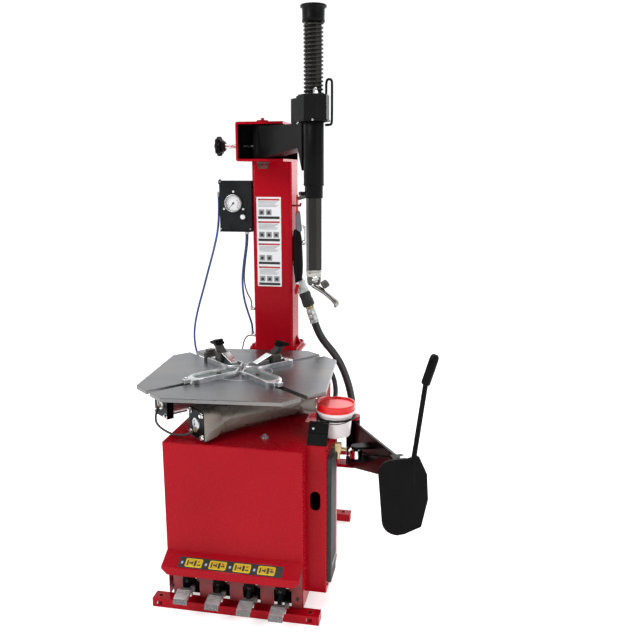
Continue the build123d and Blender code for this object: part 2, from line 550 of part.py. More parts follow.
# Stop screw: hand knob and threaded rod through the head's welded nut
with BuildPart() as stop_screw:
    rod((-190, 278, 1361), (-82, 278, 1361), 7.95)
    rod((-192, 278, 1361), (-180, 278, 1361), 17)
    with BuildSketch(Plane.YZ.offset(-214)):
        with Locations((278, 1361)):
            Circle(27)
            with PolarLocations(25, 8):
                Circle(8)
    extrude(amount=22)
finish(stop_screw, "stop_screw")

# ---------------------------------------------------------------- gauge box
GB_L, GB_R, GB_LOW, GB_HIGH, GB_FRONT, GB_REAR = -221.0, -104.0, 1068.0, 1246.0, 312.0, 352.0
GAUGE = (-169.0, 1168.0)
with BuildPart() as gauge_box:
    block(GB_L, GB_R, GB_FRONT, GB_REAR, GB_LOW, GB_HIGH)
    cut_block(GB_L + 2, GB_R - 2, GB_FRONT + 2, GB_REAR + 1, GB_LOW + 2, GB_HIGH - 2)
    block(GB_L, GB_R - 4, GB_FRONT - 6, GB_FRONT, GB_LOW, GB_LOW + 2)
    rod((GAUGE[0], GB_FRONT - 1, GAUGE[1]), (GAUGE[0], GB_FRONT + 3, GAUGE[1]), 26, Mode.SUBTRACT)
    rod((-134, GB_FRONT - 1, 1121), (-134, GB_FRONT + 3, 1121), 6, Mode.SUBTRACT)
finish(gauge_box, "gauge_box")

with BuildPart() as gauge_body:
    rod((GAUGE[0], GB_FRONT, GAUGE[1]), (GAUGE[0], GB_FRONT - 9, GAUGE[1]), 30.5)
    rod((GAUGE[0], GB_FRONT - 3, GAUGE[1]), (GAUGE[0], GB_FRONT - 10, GAUGE[1]), 27, Mode.SUBTRACT)
    rod((GAUGE[0], GB_FRONT, GAUGE[1]), (GAUGE[0], GB_FRONT + 22, GAUGE[1]), 25.9)
    rod((GAUGE[0], GB_FRONT - 3, GAUGE[1]), (GAUGE[0], GB_FRONT - 6, GAUGE[1]), 1.5)
finish(gauge_body, "gauge_body")

with BuildPart() as gauge_needle:
    with BuildSketch(Plane.XZ.offset(-GB_FRONT + 4)):
        with Locations(GAUGE):
            Circle(3.5)
        with BuildLine():
            Polyline((GAUGE[0] - 1.6, GAUGE[1]), (GAUGE[0] - 14, GAUGE[1] - 16),
                     (GAUGE[0] + 1.6, GAUGE[1] - 1), (GAUGE[0] - 1.6, GAUGE[1]))
        make_face()
        with Locations(GAUGE):
            Circle(1.56, mode=Mode.SUBTRACT)
    extrude(amount=1)
finish(gauge_needle, "gauge_needle")

with BuildPart() as gauge_button:
    rod((-134, GB_FRONT - 10, 1121), (-134, GB_FRONT + 14, 1121), 5.95)
    rod((-134, GB_FRONT - 12, 1121), (-134, GB_FRONT - 4.5, 1121), 8.5)
finish(gauge_button, "gauge_button")

# ---------------------------------------------------------------- inflation gun on its hook
GUN_Y = 338.0
FERRULE_END = (116.3, GUN_Y, 746.0)
with BuildPart() as air_gun:
    rod((56, GUN_Y, 1100), (56, GUN_Y, 905), 16)
    rod((59, GUN_Y, 1100), (56, GUN_Y, 1146), 9)
    block(53, 60, GUN_Y - 10, GUN_Y + 10, 1140, 1198)
    rod((50, GUN_Y, 1163), (64, GUN_Y, 1163), 7, Mode.SUBTRACT)
    rod((60, GUN_Y, 905), (79, GUN_Y, 852), 22)
    rod((79, GUN_Y, 856), (96, GUN_Y, 806), 20)
    rod((96, GUN_Y, 808), (100, GUN_Y, 794), 14)
    rod((100, GUN_Y, 794), FERRULE_END, 17)
finish(air_gun, "air_gun")

with BuildPart() as gun_trigger:
    with BuildSketch(Plane.XZ.offset(-GUN_Y + 5)):
        with BuildLine():
            Polyline((74, 1096), (84, 1090), (84, 1040), (79, 1036), (79, 1080), (74, 1084), (74, 1096))
        make_face()
    extrude(amount=-10)
    rod((76, GUN_Y - 7, 1092), (76, GUN_Y + 7, 1092), 3.5)
finish(gun_trigger, "gun_trigger")

# ---------------------------------------------------------------- bucket and its holder
with BuildPart() as bucket_bracket:
    block(224, BUCKET_X - 40, -185, -130, 577, 580)
    block(224, 227, -185, -130, CAB_TOP, 580)
    disc(BUCKET_X, BUCKET_Y, 577, 580, 58)
    disc(BUCKET_X, BUCKET_Y, 570, 590, 50, Mode.SUBTRACT)
finish(bucket_bracket, "bucket_bracket")

with BuildPart() as bucket:
    with BuildSketch(Plane.XZ.offset(-BUCKET_Y)):
        with BuildLine():
            Polyline((BUCKET_X, BUCKET_LOW), (BUCKET_X + 42, BUCKET_LOW), (BUCKET_X + 49.4, 592),
                     (BUCKET_X + 53, 592), (BUCKET_X + 53, BUCKET_HIGH), (BUCKET_X + 49, BUCKET_HIGH),
                     (BUCKET_X + 40, BUCKET_LOW + 3), (BUCKET_X, BUCKET_LOW + 3),
                     (BUCKET_X, BUCKET_LOW))
        make_face()
    revolve(axis=Axis((BUCKET_X, BUCKET_Y, 0), (0, 0, 1)))
finish(bucket, "bucket")

with BuildPart() as bucket_lid:
    disc(BUCKET_X, BUCKET_Y, BUCKET_HIGH - 8, BUCKET_HIGH + 14, 57)
    disc(BUCKET_X, BUCKET_Y, BUCKET_HIGH - 9, BUCKET_HIGH, 53.2, Mode.SUBTRACT)
    disc(BUCKET_X, BUCKET_Y, BUCKET_HIGH + 8, BUCKET_HIGH + 15, 50, Mode.SUBTRACT)
    fillet(bucket_lid.edges().filter_by(GeomType.CIRCLE).group_by(Axis.Z)[-1], 2)
finish(bucket_lid, "bucket_lid")

# Brass tee with its small ball valve, on the side box just in front of the bucket
with BuildPart() as air_fitting:
    block(282, 299, -203, -187, 484, 510)
    rod((290, -195, 484), (290, -195, 462), 6.5)
    rod((266, -195, 498), (283, -195, 498), 6)
    rod((298, -195, 492), (316, -195, 492), 5.5)
finish(air_fitting, "air_fitting")

with BuildPart() as valve_lever:
    rod((316.3, -195, 492), (320, -195, 492), 8)
    block(316.5, 320, -199, -191, 438, 492)
finish(valve_lever, "valve_lever")

# ---------------------------------------------------------------- bead breaker
HINGE_LOW, HINGE_HIGH = 236.0, 404.0
with BuildPart() as breaker_brackets:
    for z0 in (HINGE_LOW - 12.5, HINGE_HIGH + 0.5):
        block(WALL_X, HINGE_X, HINGE_Y - 26, HINGE_Y + 26, z0, z0 + 12)
        disc(HINGE_X, HINGE_Y, z0, z0 + 12, 26)
    disc(HINGE_X, HINGE_Y, HINGE_LOW - 20, HINGE_HIGH + 22, 11)
    # ears that hold the cylinder's trunnion on the left wall
    for z0 in (ROD_Z - 24, ROD_Z + 14):
        block(-CAB_HALF + SHEET, TRUNNION_X - 4, LUG_Y - 20, LUG_Y + 20, z0, z0 + 10)
    disc(TRUNNION_X - 14, LUG_Y, ROD_Z - 26, ROD_Z + 26, 8)
finish(breaker_brackets, "breaker_brackets")

breaker_plane = Plane(origin=(HINGE_X, HINGE_Y, 0), x_dir=(cos(ARM_ANGLE), sin(ARM_ANGLE), 0),
                      z_dir=(sin(ARM_ANGLE), -cos(ARM_ANGLE), 0))
with BuildPart() as breaker_arm:
    # thin upright web over a box beam that climbs towards the blade
    with BuildSketch(breaker_plane):
        with BuildLine():
            Polyline((0, HINGE_LOW), (0, HINGE_HIGH), (40, HINGE_HIGH), (ARM_LENGTH - 30, 490),
                     (ARM_LENGTH - 30, 440), (30, HINGE_LOW), (0, HINGE_LOW))
        make_face()
    extrude(amount=4, both=True)
    with BuildSketch(breaker_plane):
        with BuildLine():
            Polyline((0, HINGE_LOW), (0, 284), (30, 290), (ARM_LENGTH - 30, 488),
                     (ARM_LENGTH - 30, 430), (40, HINGE_LOW), (0, HINGE_LOW))
        make_face()
    extrude(amount=20, both=True)
    disc(HINGE_X, HINGE_Y, HINGE_LOW, HINGE_HIGH, 25)
    disc(HINGE_X, HINGE_Y, HINGE_LOW - 1, HINGE_HIGH + 1, 11.06, Mode.SUBTRACT)
    for z0 in (452, 478):
        with BuildSketch(Plane.XY.offset(z0)):
            with BuildLine():
                Polyline(on_arm(ARM_LENGTH - 60, -18), on_arm(ARM_LENGTH - 60, 18),
                         on_arm(ARM_LENGTH, 18), on_arm(ARM_LENGTH, -18), on_arm(ARM_LENGTH - 60, -18))
            make_face()
            with Locations((BLADE_X, BLADE_Y)):
                Circle(18)
        extrude(amount=10)
    disc(BLADE_X, BLADE_Y, 448, 496, 9)
    for z0 in (ROD_Z - 26, ROD_Z + 18):
        with BuildSketch(Plane.XY.offset(z0)):
            with BuildLine():
                Polyline(on_arm(LUG_ALONG - 22, 0), on_arm(LUG_ALONG - 16, LUG_SIDE),
                         on_arm(LUG_ALONG + 16, LUG_SIDE), on_arm(LUG_ALONG + 22, 0),
                         on_arm(LUG_ALONG - 22, 0))
            make_face()
            with Locations((LUG_X, LUG_Y)):
                Circle(16)
        extrude(amount=8)
    disc(LUG_X, LUG_Y, ROD_Z - 26, ROD_Z + 26, 5)
finish(breaker_arm, "breaker_arm")

with BuildPart() as breaker_cylinder:
    rod((TRUNNION_X, LUG_Y, ROD_Z), (150, LUG_Y, ROD_Z), 38)
    rod((TRUNNION_X + 12, LUG_Y, ROD_Z), (138, LUG_Y, ROD_Z), 34, Mode.SUBTRACT)
    rod((134, LUG_Y, ROD_Z), (154, LUG_Y, ROD_Z), 11.06, Mode.SUBTRACT)
    disc(TRUNNION_X - 14, LUG_Y, ROD_Z - 12, ROD_Z + 12, 20)
    disc(TRUNNION_X - 14, LUG_Y, ROD_Z - 13, ROD_Z + 13, 8.06, Mode.SUBTRACT)
finish(breaker_cylinder, "breaker_cylinder")

with BuildPart() as breaker_rod:
    rod((-20, LUG_Y, ROD_Z), (-4, LUG_Y, ROD_Z), 33.6)
    rod((-20, LUG_Y, ROD_Z), (LUG_X - 18, LUG_Y, ROD_Z), 11)
    disc(LUG_X, LUG_Y, ROD_Z - 13, ROD_Z + 13, 20)
    disc(LUG_X, LUG_Y, ROD_Z - 14, ROD_Z + 14, 15, Mode.SUBTRACT)
finish(breaker_rod, "breaker_rod")

# Blade: a plate folded along an upright crease, cut to its outline
with BuildPart() as breaker_blade:
    with BuildSketch(Plane.XY.offset(262)):
        with BuildLine():
            Polyline((412, -261), (494, -288), (554, -262), (554, -269), (494, -295), (412, -268),
                     (412, -261))
        make_face()
    extrude(amount=270)
    with BuildSketch(Plane.XZ.offset(240)):
        with BuildLine():
            Polyline((414.5, 456), (418, 475), (429, 491), (444, 502), (485, 516), (507, 521),
                     (520, 524), (527, 518), (549, 466), (554, 392), (538, 312), (497, 297), (474, 286))
            Spline((474, 286), (447, 287), (427, 318), tangents=[(-1, -0.2), (-0.1, 1)])
            Line((427, 318), (414.5, 456))
        make_face()
    extrude(amount=60, mode=Mode.INTERSECT)
    with BuildSketch(Plane.XY.offset(464)):
        with Locations((BLADE_X, BLADE_Y)):
            Circle(17)
        with BuildLine():
            Polyline((BLADE_X - 15, BLADE_Y), (BLADE_X + 15, BLADE_Y), (BLADE_X + 18, -287),
                     (BLADE_X - 18, -281), (BLADE_X - 15, BLADE_Y))
        make_face()
        with Locations((BLADE_X, BLADE_Y)):
            Circle(9.06, mode=Mode.SUBTRACT)
    extrude(amount=12)
    rod((512, -280, 440), (512, -280, 520), 7)
    rod((512, -280, 516), (538, -280, 735), 7)
    rod((537, -280, 729), (556, -280, 794), 12.5)
    with Locations((556, -280, 794)):
        Sphere(12.5)
finish(breaker_blade, "breaker_blade")

# ---------------------------------------------------------------- hoses, fittings, fasteners
blast_route = [(116.32, 338, 745.94), (127.88, 338, 711.9), (150, 346, 672), (178, 366, 632), (203, 388, 584),
               (222, 404, 528), (237, 414, 470), (244, 422, 416), (239, 427, 370), (217, 430, 331),
               (182, 430, 300), (140, 430, 300)]
hose("blast_hose", 28, blast_route)
return_route = [(78, 352, 604), (102, 352, 604), (130, 370, 594), (153, 398, 568), (170, 413, 530),
                (180, 419, 486), (180, 421, 442), (167, 421, 406), (138, 421, 386), (106, 421, 386)]
hose("return_hose", 19, return_route)
left_route = [(-232, 338, 1190), (-232, 338, 1140), (-238, 338, 1070), (-256, 338, 1000),
              (-278, 338, 930), (-302, 338, 850), (-328, 338, 770), (-345, 338, 690),
              (-340, 338, 618), (-316, 338, 556), (-278, 338, 516), (-248, 338, 500), (-222, 338, 500)]
hose("left_air_line", 8, left_route)
right_route = [(-134, 345, 1060), (-134, 345, 1028), (-146, 345, 960), (-155, 345, 886),
               (-149, 345, 818), (-132, 345, 762), (-119, 345, 724), (-119, 345, 700)]
hose("right_air_line", 8, right_route)
upper_route = [(-124, 328, 1060), (-124, 328, 1034), (-136, 328, 960), (-143, 328, 892),
               (-132, 328, 846), (-115, 328, 820), (-115, 328, 798)]
lower_route = [(-113, 328, 690), (-126, 328, 690), (-140, 328, 682), (-150, 328, 660), (-155, 328, 628),
               (-157, 328, 592), (-157, 328, 556)]
hose("vent_lines", 5, upper_route, lower_route)
CLAMP_LINE = [(-241.3, -114, 552), (-248, -107, 543), (-262, -87, 534), (-276, -56, 530),
              (-280, -18, 529), (-280, 22, 530), (-276, 58, 534), (-262, 89, 543), (-248, 107, 552),
              (-241.3, 114, 562)]    # along and across the clamp cylinders, and height
clamp_route = [turned(along, across, CYL_ANGLE) + (z,) for along, across, z in CLAMP_LINE]
hose("clamp_air_line", 7, clamp_route)

with BuildPart() as hose_fittings:
    for (x, y, z), radius in (((140, 430, 300), 15), ((106, 421, 386), 11)):
        rod((x, y, z), (x - 24, y, z), radius)
        rod((x - 16, y, z), (x - 16, CAB_REAR, z), radius - 1)
    rod((78, 352, 604), (RISER_RIGHT, 352, 604), 11)
    rod((-222, 338, 500), (-CAB_HALF, 338, 500), 7)
    rod((-232, 338, 1190), (-232, 338, 1206), 6)
    rod((-232, 338, 1204), (GB_L, 338, 1204), 5)
    for x, y in ((-134, 345), (-124, 328)):
        rod((x, y, 1060), (x, y, GB_LOW), 5)
    for x, y, z in ((-119, 345, 700), (-115, 328, 798)):
        rod((x, y, z), (x, y, z - 14), 6)
        rod((x, y, z - 9), (COL_X - COL_W / 2, y, z - 9), 5)
    rod((-113, 328, 690), (COL_X - COL_W / 2, 328, 690), 5)
    rod((-157, 328, 556), (-157, 328, CAB_TOP), 6)
finish(hose_fittings, "hose_fittings")
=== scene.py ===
"""Looks of a swing-arm tire changer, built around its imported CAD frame. Metres, +Z up, -Y to the front."""

from math import cos, pi, radians, sin

import bmesh
import bpy
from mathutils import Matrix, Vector


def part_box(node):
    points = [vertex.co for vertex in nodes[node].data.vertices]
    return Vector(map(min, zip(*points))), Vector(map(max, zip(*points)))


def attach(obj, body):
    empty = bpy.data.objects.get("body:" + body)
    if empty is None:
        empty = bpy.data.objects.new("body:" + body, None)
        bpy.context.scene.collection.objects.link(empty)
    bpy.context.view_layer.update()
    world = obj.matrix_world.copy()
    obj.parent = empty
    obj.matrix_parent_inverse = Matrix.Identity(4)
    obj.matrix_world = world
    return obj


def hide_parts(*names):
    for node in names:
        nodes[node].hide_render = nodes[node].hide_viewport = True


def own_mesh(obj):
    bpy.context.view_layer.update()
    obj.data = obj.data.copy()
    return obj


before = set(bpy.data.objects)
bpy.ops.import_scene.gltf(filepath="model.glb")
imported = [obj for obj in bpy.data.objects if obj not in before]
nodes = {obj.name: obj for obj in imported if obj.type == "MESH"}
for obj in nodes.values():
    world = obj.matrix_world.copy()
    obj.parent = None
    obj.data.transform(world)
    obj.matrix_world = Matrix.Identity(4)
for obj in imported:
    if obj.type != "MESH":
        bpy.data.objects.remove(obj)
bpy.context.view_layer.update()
scene = bpy.context.scene

X_AXIS, Z_AXIS, FRONT = Vector((1, 0, 0)), Vector((0, 0, 1)), Vector((0, -1, 0))

# ---------------------------------------------------------------- camera, world and light
CAMERA_AT = (0.5912, -2.0708, 1.2815)
CAMERA_TURN = (pi / 2 - 0.2117, 0, 0.187)
LENS, SENSOR = 39.21, 36.0


def make_camera():
    data = bpy.data.cameras.new("camera")
    data.lens, data.sensor_width = LENS, SENSOR
    camera = bpy.data.objects.new("camera", data)
    camera.location, camera.rotation_euler = CAMERA_AT, CAMERA_TURN
    scene.collection.objects.link(camera)
    scene.camera = camera


def area_light(name, at, target, size, power):
    data = bpy.data.lights.new(name, "AREA")
    data.shape, data.size, data.energy = "SQUARE", size, power
    light = bpy.data.objects.new(name, data)
    light.location = at
    light.rotation_euler = (Vector(target) - Vector(at)).to_track_quat("-Z", "Y").to_euler()
    scene.collection.objects.link(light)


make_camera()
area_light("key", (-2.2, -2.6, 3.2), (0, 0, 0.8), 2.0, 84)
area_light("fill", (2.8, -2.0, 1.8), (0, 0, 0.8), 2.2, 24)
area_light("top", (0.3, 0.2, 3.8), (0, 0, 0.9), 2.4, 44)
area_light("back", (0.8, 3.2, 2.2), (0, 0, 0.9), 2.4, 30)


def make_world():
    """A white surround behind the machine that falls off to grey behind the camera."""
    world = bpy.data.worlds.new("studio")
    world.use_nodes = True
    tree = world.node_tree
    place, split = tree.nodes.new("ShaderNodeTexCoord"), tree.nodes.new("ShaderNodeSeparateXYZ")
    fall = tree.nodes.new("ShaderNodeMapRange")
    for name, value in (("From Min", -0.5), ("From Max", 0.3), ("To Min", 0.16), ("To Max", 1.1)):
        fall.inputs[name].default_value = value
    tree.links.new(place.outputs["Generated"], split.inputs["Vector"])
    tree.links.new(split.outputs["Y"], fall.inputs["Value"])
    tree.links.new(fall.outputs["Result"], tree.nodes["Background"].inputs["Strength"])
    tree.nodes["Background"].inputs["Color"].default_value = (0.98, 0.99, 1.0, 1)
    scene.world = world


make_world()
scene.view_settings.view_transform = "Standard"
scene.view_settings.look = "None"

# ---------------------------------------------------------------- materials


def material(name, color, rough, metal=0.0, coat=0.0, tint=0.10, tint_scale=9, spread=0.08, bump=0.0,
             bump_scale=600, bump_depth=0.0004, other=None, specular=0.5, glow=0.0):
    """Principled material with a slow colour change, uneven gloss and a fine surface bump.

    A scale is one number, or three where the pattern is drawn out along an axis.
    """
    made = bpy.data.materials.new(name)
    made.use_nodes = True
    made.diffuse_color = (*color, 1)
    tree = made.node_tree
    new, link = tree.nodes.new, tree.links.new
    shader = tree.nodes["Principled BSDF"]
    shader.inputs["Metallic"].default_value = metal
    shader.inputs["Coat Weight"].default_value = coat
    shader.inputs["Coat Roughness"].default_value = 0.08
    shader.inputs["Specular IOR Level"].default_value = specular
    shader.inputs["Emission Color"].default_value = (1, 1, 1, 1)
    shader.inputs["Emission Strength"].default_value = glow
    place = new("ShaderNodeTexCoord")

    def noise(scale, detail):
        mapping, texture = new("ShaderNodeMapping"), new("ShaderNodeTexNoise")
        mapping.inputs["Scale"].default_value = scale if isinstance(scale, tuple) else (scale, scale, scale)
        texture.inputs["Scale"].default_value = 1.0
        texture.inputs["Detail"].default_value = detail
        link(place.outputs["Object"], mapping.inputs["Vector"])
        link(mapping.outputs["Vector"], texture.inputs["Vector"])
        return texture.outputs["Fac"]

    slow, ramp = noise(tint_scale, 3.0), new("ShaderNodeValToRGB")
    ramp.color_ramp.elements[0].position, ramp.color_ramp.elements[1].position = 0.3, 0.7
    lighter = other or tuple(min(1.0, c * (1 + tint) + tint * 0.02) for c in color)
    ramp.color_ramp.elements[0].color = (*[c * (1 - tint) for c in color], 1)
    ramp.color_ramp.elements[1].color = (*lighter, 1)
    link(slow, ramp.inputs["Fac"])
    link(ramp.outputs["Color"], shader.inputs["Base Color"])
    fine = noise(bump_scale, 2.0)
    gloss = new("ShaderNodeMapRange")
    gloss.inputs["To Min"].default_value = max(0.02, rough - spread)
    gloss.inputs["To Max"].default_value = min(1.0, rough + spread)
    link(fine, gloss.inputs["Value"])
    link(gloss.outputs["Result"], shader.inputs["Roughness"])
    if bump:
        relief = new("ShaderNodeBump")
        relief.inputs["Strength"].default_value = bump
        relief.inputs["Distance"].default_value = bump_depth
        link(fine, relief.inputs["Height"])
        link(relief.outputs["Normal"], shader.inputs["Normal"])
    return made


RED = material("red_paint", (0.37, 0.0005, 0.008), 0.26, coat=0.02, tint_scale=3, bump=0.08, bump_scale=260,
               specular=0.10)
DARK_RED = material("red_paint_shaded", (0.24, 0.018, 0.020), 0.45, tint=0.25, tint_scale=20, bump=0.15)
BLACK = material("black_gloss_paint", (0.0018, 0.0018, 0.002), 0.30, tint=0.2, tint_scale=6, bump=0.12,
                 bump_scale=300, specular=0.05)
SATIN = material("satin_black_paint", (0.0022, 0.0022, 0.0025), 0.36, tint=0.2, bump=0.2, bump_scale=700,
                 specular=0.06)
# The slow blend between bluish and brownish grey is painted reflection of the room, laid over the steel's
# ground grain.
TABLE = material("ground_steel_with_painted_reflection", (0.17, 0.18, 0.205), 0.30, metal=0.95, tint=0.16,
                 tint_scale=(2.4, 5, 2), other=(0.225, 0.21, 0.195), spread=0.12, bump=0.35,
                 bump_scale=(9, 900, 9), bump_depth=0.0002)
ZINC = material("zinc_plate", (0.56, 0.57, 0.58), 0.30, metal=0.9, tint=0.18, tint_scale=60, bump=0.25,
                bump_scale=420)
# Dark green-grey zinc: its green tone is painted reflection, as seen on the glassy tops of the clamp slides.
GREEN_REFLECTION_ZINC = material("zinc_with_painted_green_reflection", (0.14, 0.17, 0.165), 0.42, metal=0.75, tint=0.25, tint_scale=50,
                    bump=0.4, bump_scale=500)
BRIGHT = material("polished_steel", (0.78, 0.78, 0.77), 0.14, metal=1.0, tint=0.06, tint_scale=30,
                  bump=0.05)
CHROME = material("chrome_plate", (0.34, 0.33, 0.31), 0.12, metal=1.0, tint=0.06, tint_scale=30)
# Oiled dark steel; the same material also darkens the pedal bay's sheets as painted shade.
DARK_STEEL_AND_SHADE = material("oiled_dark_steel_and_painted_shade", (0.028, 0.027, 0.024), 0.30, metal=0.75, tint=0.3,
                      tint_scale=(8, 8, 2), bump=0.25, bump_scale=(500, 500, 14))
BROWN_STEEL = material("brown_dark_steel", (0.085, 0.078, 0.068), 0.42, metal=0.7, tint=0.35, tint_scale=40,
                       bump=0.4)
ALLOY = material("cast_alloy", (0.52, 0.53, 0.53), 0.34, metal=0.85, tint=0.16, tint_scale=35, bump=0.35,
                 bump_scale=380)
FILM = material("wrinkled_wrap_film", (0.20, 0.172, 0.142), 0.30, metal=0.2, coat=0.3, tint=0.2,
                tint_scale=9, other=(0.27, 0.24, 0.205), spread=0.10, bump=0.45, bump_scale=34,
                bump_depth=0.002)
IRON = material("painted_cast_iron", (0.13, 0.14, 0.15), 0.5, metal=0.3, tint=0.2, bump=0.5)
BRASS = material("worn_brass", (0.46, 0.36, 0.20), 0.34, metal=0.9, tint=0.2, tint_scale=80, bump=0.2)
RUBBER = material("moulded_rubber", (0.007, 0.007, 0.007), 0.62, tint=0.3, tint_scale=30, bump=0.5,
                  bump_scale=420)
HOSE = material("braided_black_hose", (0.007, 0.007, 0.008), 0.42, tint=0.3, tint_scale=25, bump=0.6,
                bump_scale=(900, 900, 500))
BLUE_BLACK = material("blue_black_hose", (0.02, 0.026, 0.045), 0.4, tint=0.3, tint_scale=25, bump=0.4,
                      bump_scale=(800, 800, 500))
BLUE = material("blue_air_line", (0.010, 0.050, 0.24), 0.24, coat=0.4, tint=0.25, tint_scale=12)
PLASTIC = material("moulded_black_plastic", (0.004, 0.004, 0.0045), 0.38, tint=0.2, bump=0.35,
                   bump_scale=520, specular=0.08)
WHITE = material("white_pail_plastic", (0.78, 0.70, 0.71), 0.32, coat=0.2, tint=0.06, tint_scale=8,
                 bump=0.15)
LID = material("red_lid_plastic", (0.72, 0.006, 0.008), 0.26, coat=0.15, bump=0.1, specular=0.35)
PAPER = material("label_white", (0.82, 0.82, 0.83), 0.35, coat=0.3, tint=0.03)
INK_RED = material("label_red_ink", (0.45, 0.02, 0.04), 0.4)
INK_BLACK = material("label_black_ink", (0.012, 0.012, 0.014), 0.35)
INK_GREY = material("label_grey_ink", (0.30, 0.30, 0.32), 0.4, tint=0.15)
INK_YELLOW = material("label_yellow_ink", (0.92, 0.68, 0.02), 0.35, tint=0.08)
INK_BLUE = material("label_blue_ink", (0.42, 0.55, 0.72), 0.35)
BOX_BLACK = material("black_box_sheet", (0.012, 0.013, 0.015), 0.42, tint=0.25, tint_scale=12, bump=0.25,
                     bump_scale=500, specular=0.08)
FLOOR = material("pale_floor", (0.90, 0.90, 0.90), 0.8, tint=0.01, specular=0.0, glow=0.55)

PEDALS = ("pedal_1", "pedal_2", "pedal_3", "pedal_4")
NODE_LOOK = {
    RED: ("base_bars", "front_panel", "left_panel", "right_panel", "rear_panel", "top_plate", "side_cover",
          "column", "column_head", "breaker_brackets"),
    PLASTIC: ("sloped_guard", "lock_cover", "shaft_cap"),
    RUBBER: ("rubber_pad",),
    IRON: ("gearbox", "drive_motor"),
    ALLOY: ("gearbox_pulley", "motor_pulley", "breaker_cylinder") + PEDALS,
    ZINC: ("pedal_shaft", "gun_trigger", "hose_fittings"),
    TABLE: ("turntable",),
    BROWN_STEEL: ("spindle", "lock_lever"),
    FILM: ("clamp_cylinders",),
    BRIGHT: ("clamp_rods", "breaker_rod"),
    SATIN: ("swing_arm", "guide_sleeve", "bucket_bracket"),
    DARK_STEEL_AND_SHADE: ("tool_shaft",),
    BOX_BLACK: ("gauge_box",),
    BLACK: ("breaker_arm", "breaker_blade", "gauge_body", "gauge_needle", "valve_lever"),
    WHITE: ("gauge_button",),
    BRASS: ("air_fitting",),
}
for look, names in NODE_LOOK.items():
    for name in names:
        for slot in nodes[name].material_slots:
            slot.material = look
        if not nodes[name].material_slots:
            nodes[name].data.materials.append(look)


def soften(name):
    """Weld the imported facets and round the sharp edges of a CAD node by a modifier."""
    piece = nodes[name]
    weld = piece.modifiers.new("weld", "WELD")
    weld.merge_threshold = 0.00002
    bevel = piece.modifiers.new("bevel", "BEVEL")
    bevel.width, bevel.segments = 0.0012, 2
    bevel.limit_method, bevel.angle_limit = "ANGLE", radians(40)
    bevel.use_clamp_overlap = True
    bevel.harden_normals = True


def repaint(name, look, test):
    """Give another material to the faces of a CAD node whose centre passes the test."""
    piece = nodes[name]
    piece.data.materials.append(look)
    index = len(piece.data.materials) - 1
    for face in piece.data.polygons:
        if test(face.center):
            face.material_index = index


# ---------------------------------------------------------------- mesh helpers


def skin(rings, count, closed=False):
    """Quads between rings of count points each; closed also joins the last ring to the first."""
    faces = []
    for ring in range(rings if closed else rings - 1):
        low, high = ring * count, (ring + 1) % rings * count
        faces += [(low + k, low + (k + 1) % count, high + (k + 1) % count, high + k) for k in range(count)]
    return faces


def ends(rings, count):
    """The two flat faces that close a skin."""
    return [tuple(range(count)), tuple(range((rings - 1) * count, rings * count))]


def add_mesh(name, points, faces, look, body="frame", smooth=True, bevel=0.0):
    """A mesh piece that rides on a body, with smooth or flat faces and optional rounded edges."""
    mesh = bpy.data.meshes.new(name)
    mesh.from_pydata([tuple(p) for p in points], [], faces)
    work = bmesh.new()
    work.from_mesh(mesh)
    bmesh.ops.remove_doubles(work, verts=work.verts, dist=1e-6)
    bmesh.ops.recalc_face_normals(work, faces=work.faces)
    for face in work.faces:
        face.smooth = smooth
    if smooth:
        for edge in work.edges:
            if len(edge.link_faces) == 2 and edge.calc_face_angle(0) > radians(38):
                edge.smooth = False
    work.to_mesh(mesh)
    work.free()
    mesh.materials.append(look)
    piece = bpy.data.objects.new(name, mesh)
    scene.collection.objects.link(piece)
    if bevel:
        edges = piece.modifiers.new("bevel", "BEVEL")
        edges.width, edges.segments = bevel, 2
        edges.limit_method, edges.angle_limit = "ANGLE", radians(35)
    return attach(piece, body)


def basis(axis):
    """Two directions square to an axis."""
    axis = Vector(axis).normalized()
    first = axis.cross(Z_AXIS if abs(axis.z) < 0.9 else X_AXIS).normalized()
    return axis, first, axis.cross(first)


def lathe(name, at, axis, profile, look, body="frame", sides=40, lobes=0, lobe=0.0, caps=True):
    """A turned piece: profile is (distance along the axis, radius); lobes make a star-shaped grip.

    Without caps the profile closes on itself as a ring.
    """
    axis, first, second = basis(axis)
    points = []
    for along, radius in profile:
        for k in range(sides):
            turn = 2 * pi * k / sides
            r = radius * (1 + lobe * cos(lobes * turn)) if lobes else radius
            points.append(Vector(at) + axis * along + (first * cos(turn) + second * sin(turn)) * r)
    rings = len(profile)
    faces = skin(rings, sides) + ends(rings, sides) if caps else skin(rings, sides, closed=True)
    return add_mesh(name, points, faces, look, body)


def hex_bolt(name, at, axis, size, height, look, body="frame"):
    """A hexagon head with a chamfered crown on a round washer."""
    washer = [(0, size * 1.25), (size * 0.16, size * 1.3), (size * 0.24, size * 1.2)]
    lathe(name + "_washer", at, axis, washer, look, body, sides=28)
    start = Vector(at) + Vector(axis).normalized() * size * 0.2
    lathe(name, start, axis, [(0, size), (height * 0.8, size), (height, size * 0.82)], look, body, sides=6)


def cap_screw(name, at, axis, size, look, body="frame"):
    """A round button head with a hexagon socket."""
    lathe(name, at, axis, [(0, size), (size * 0.5, size * 0.95), (size * 0.8, size * 0.6),
                           (size * 0.8, size * 0.42), (size * 0.35, size * 0.40)], look, body, sides=24)


def prism(name, points, look, body, bevel):
    """A block with flat faces: the points of its first end, then those of its second."""
    count = len(points) // 2
    return add_mesh(name, points, ends(2, count) + skin(2, count), look, body, smooth=False, bevel=bevel)


def slab(name, corners, thickness, look, body="frame", bevel=0.0008):
    """A flat plate: its outline as points in space, thickened along the outline's normal."""
    corners = [Vector(c) for c in corners]
    normal = (corners[1] - corners[0]).cross(corners[2] - corners[1]).normalized() * thickness
    return prism(name, corners + [c + normal for c in corners], look, body, bevel)


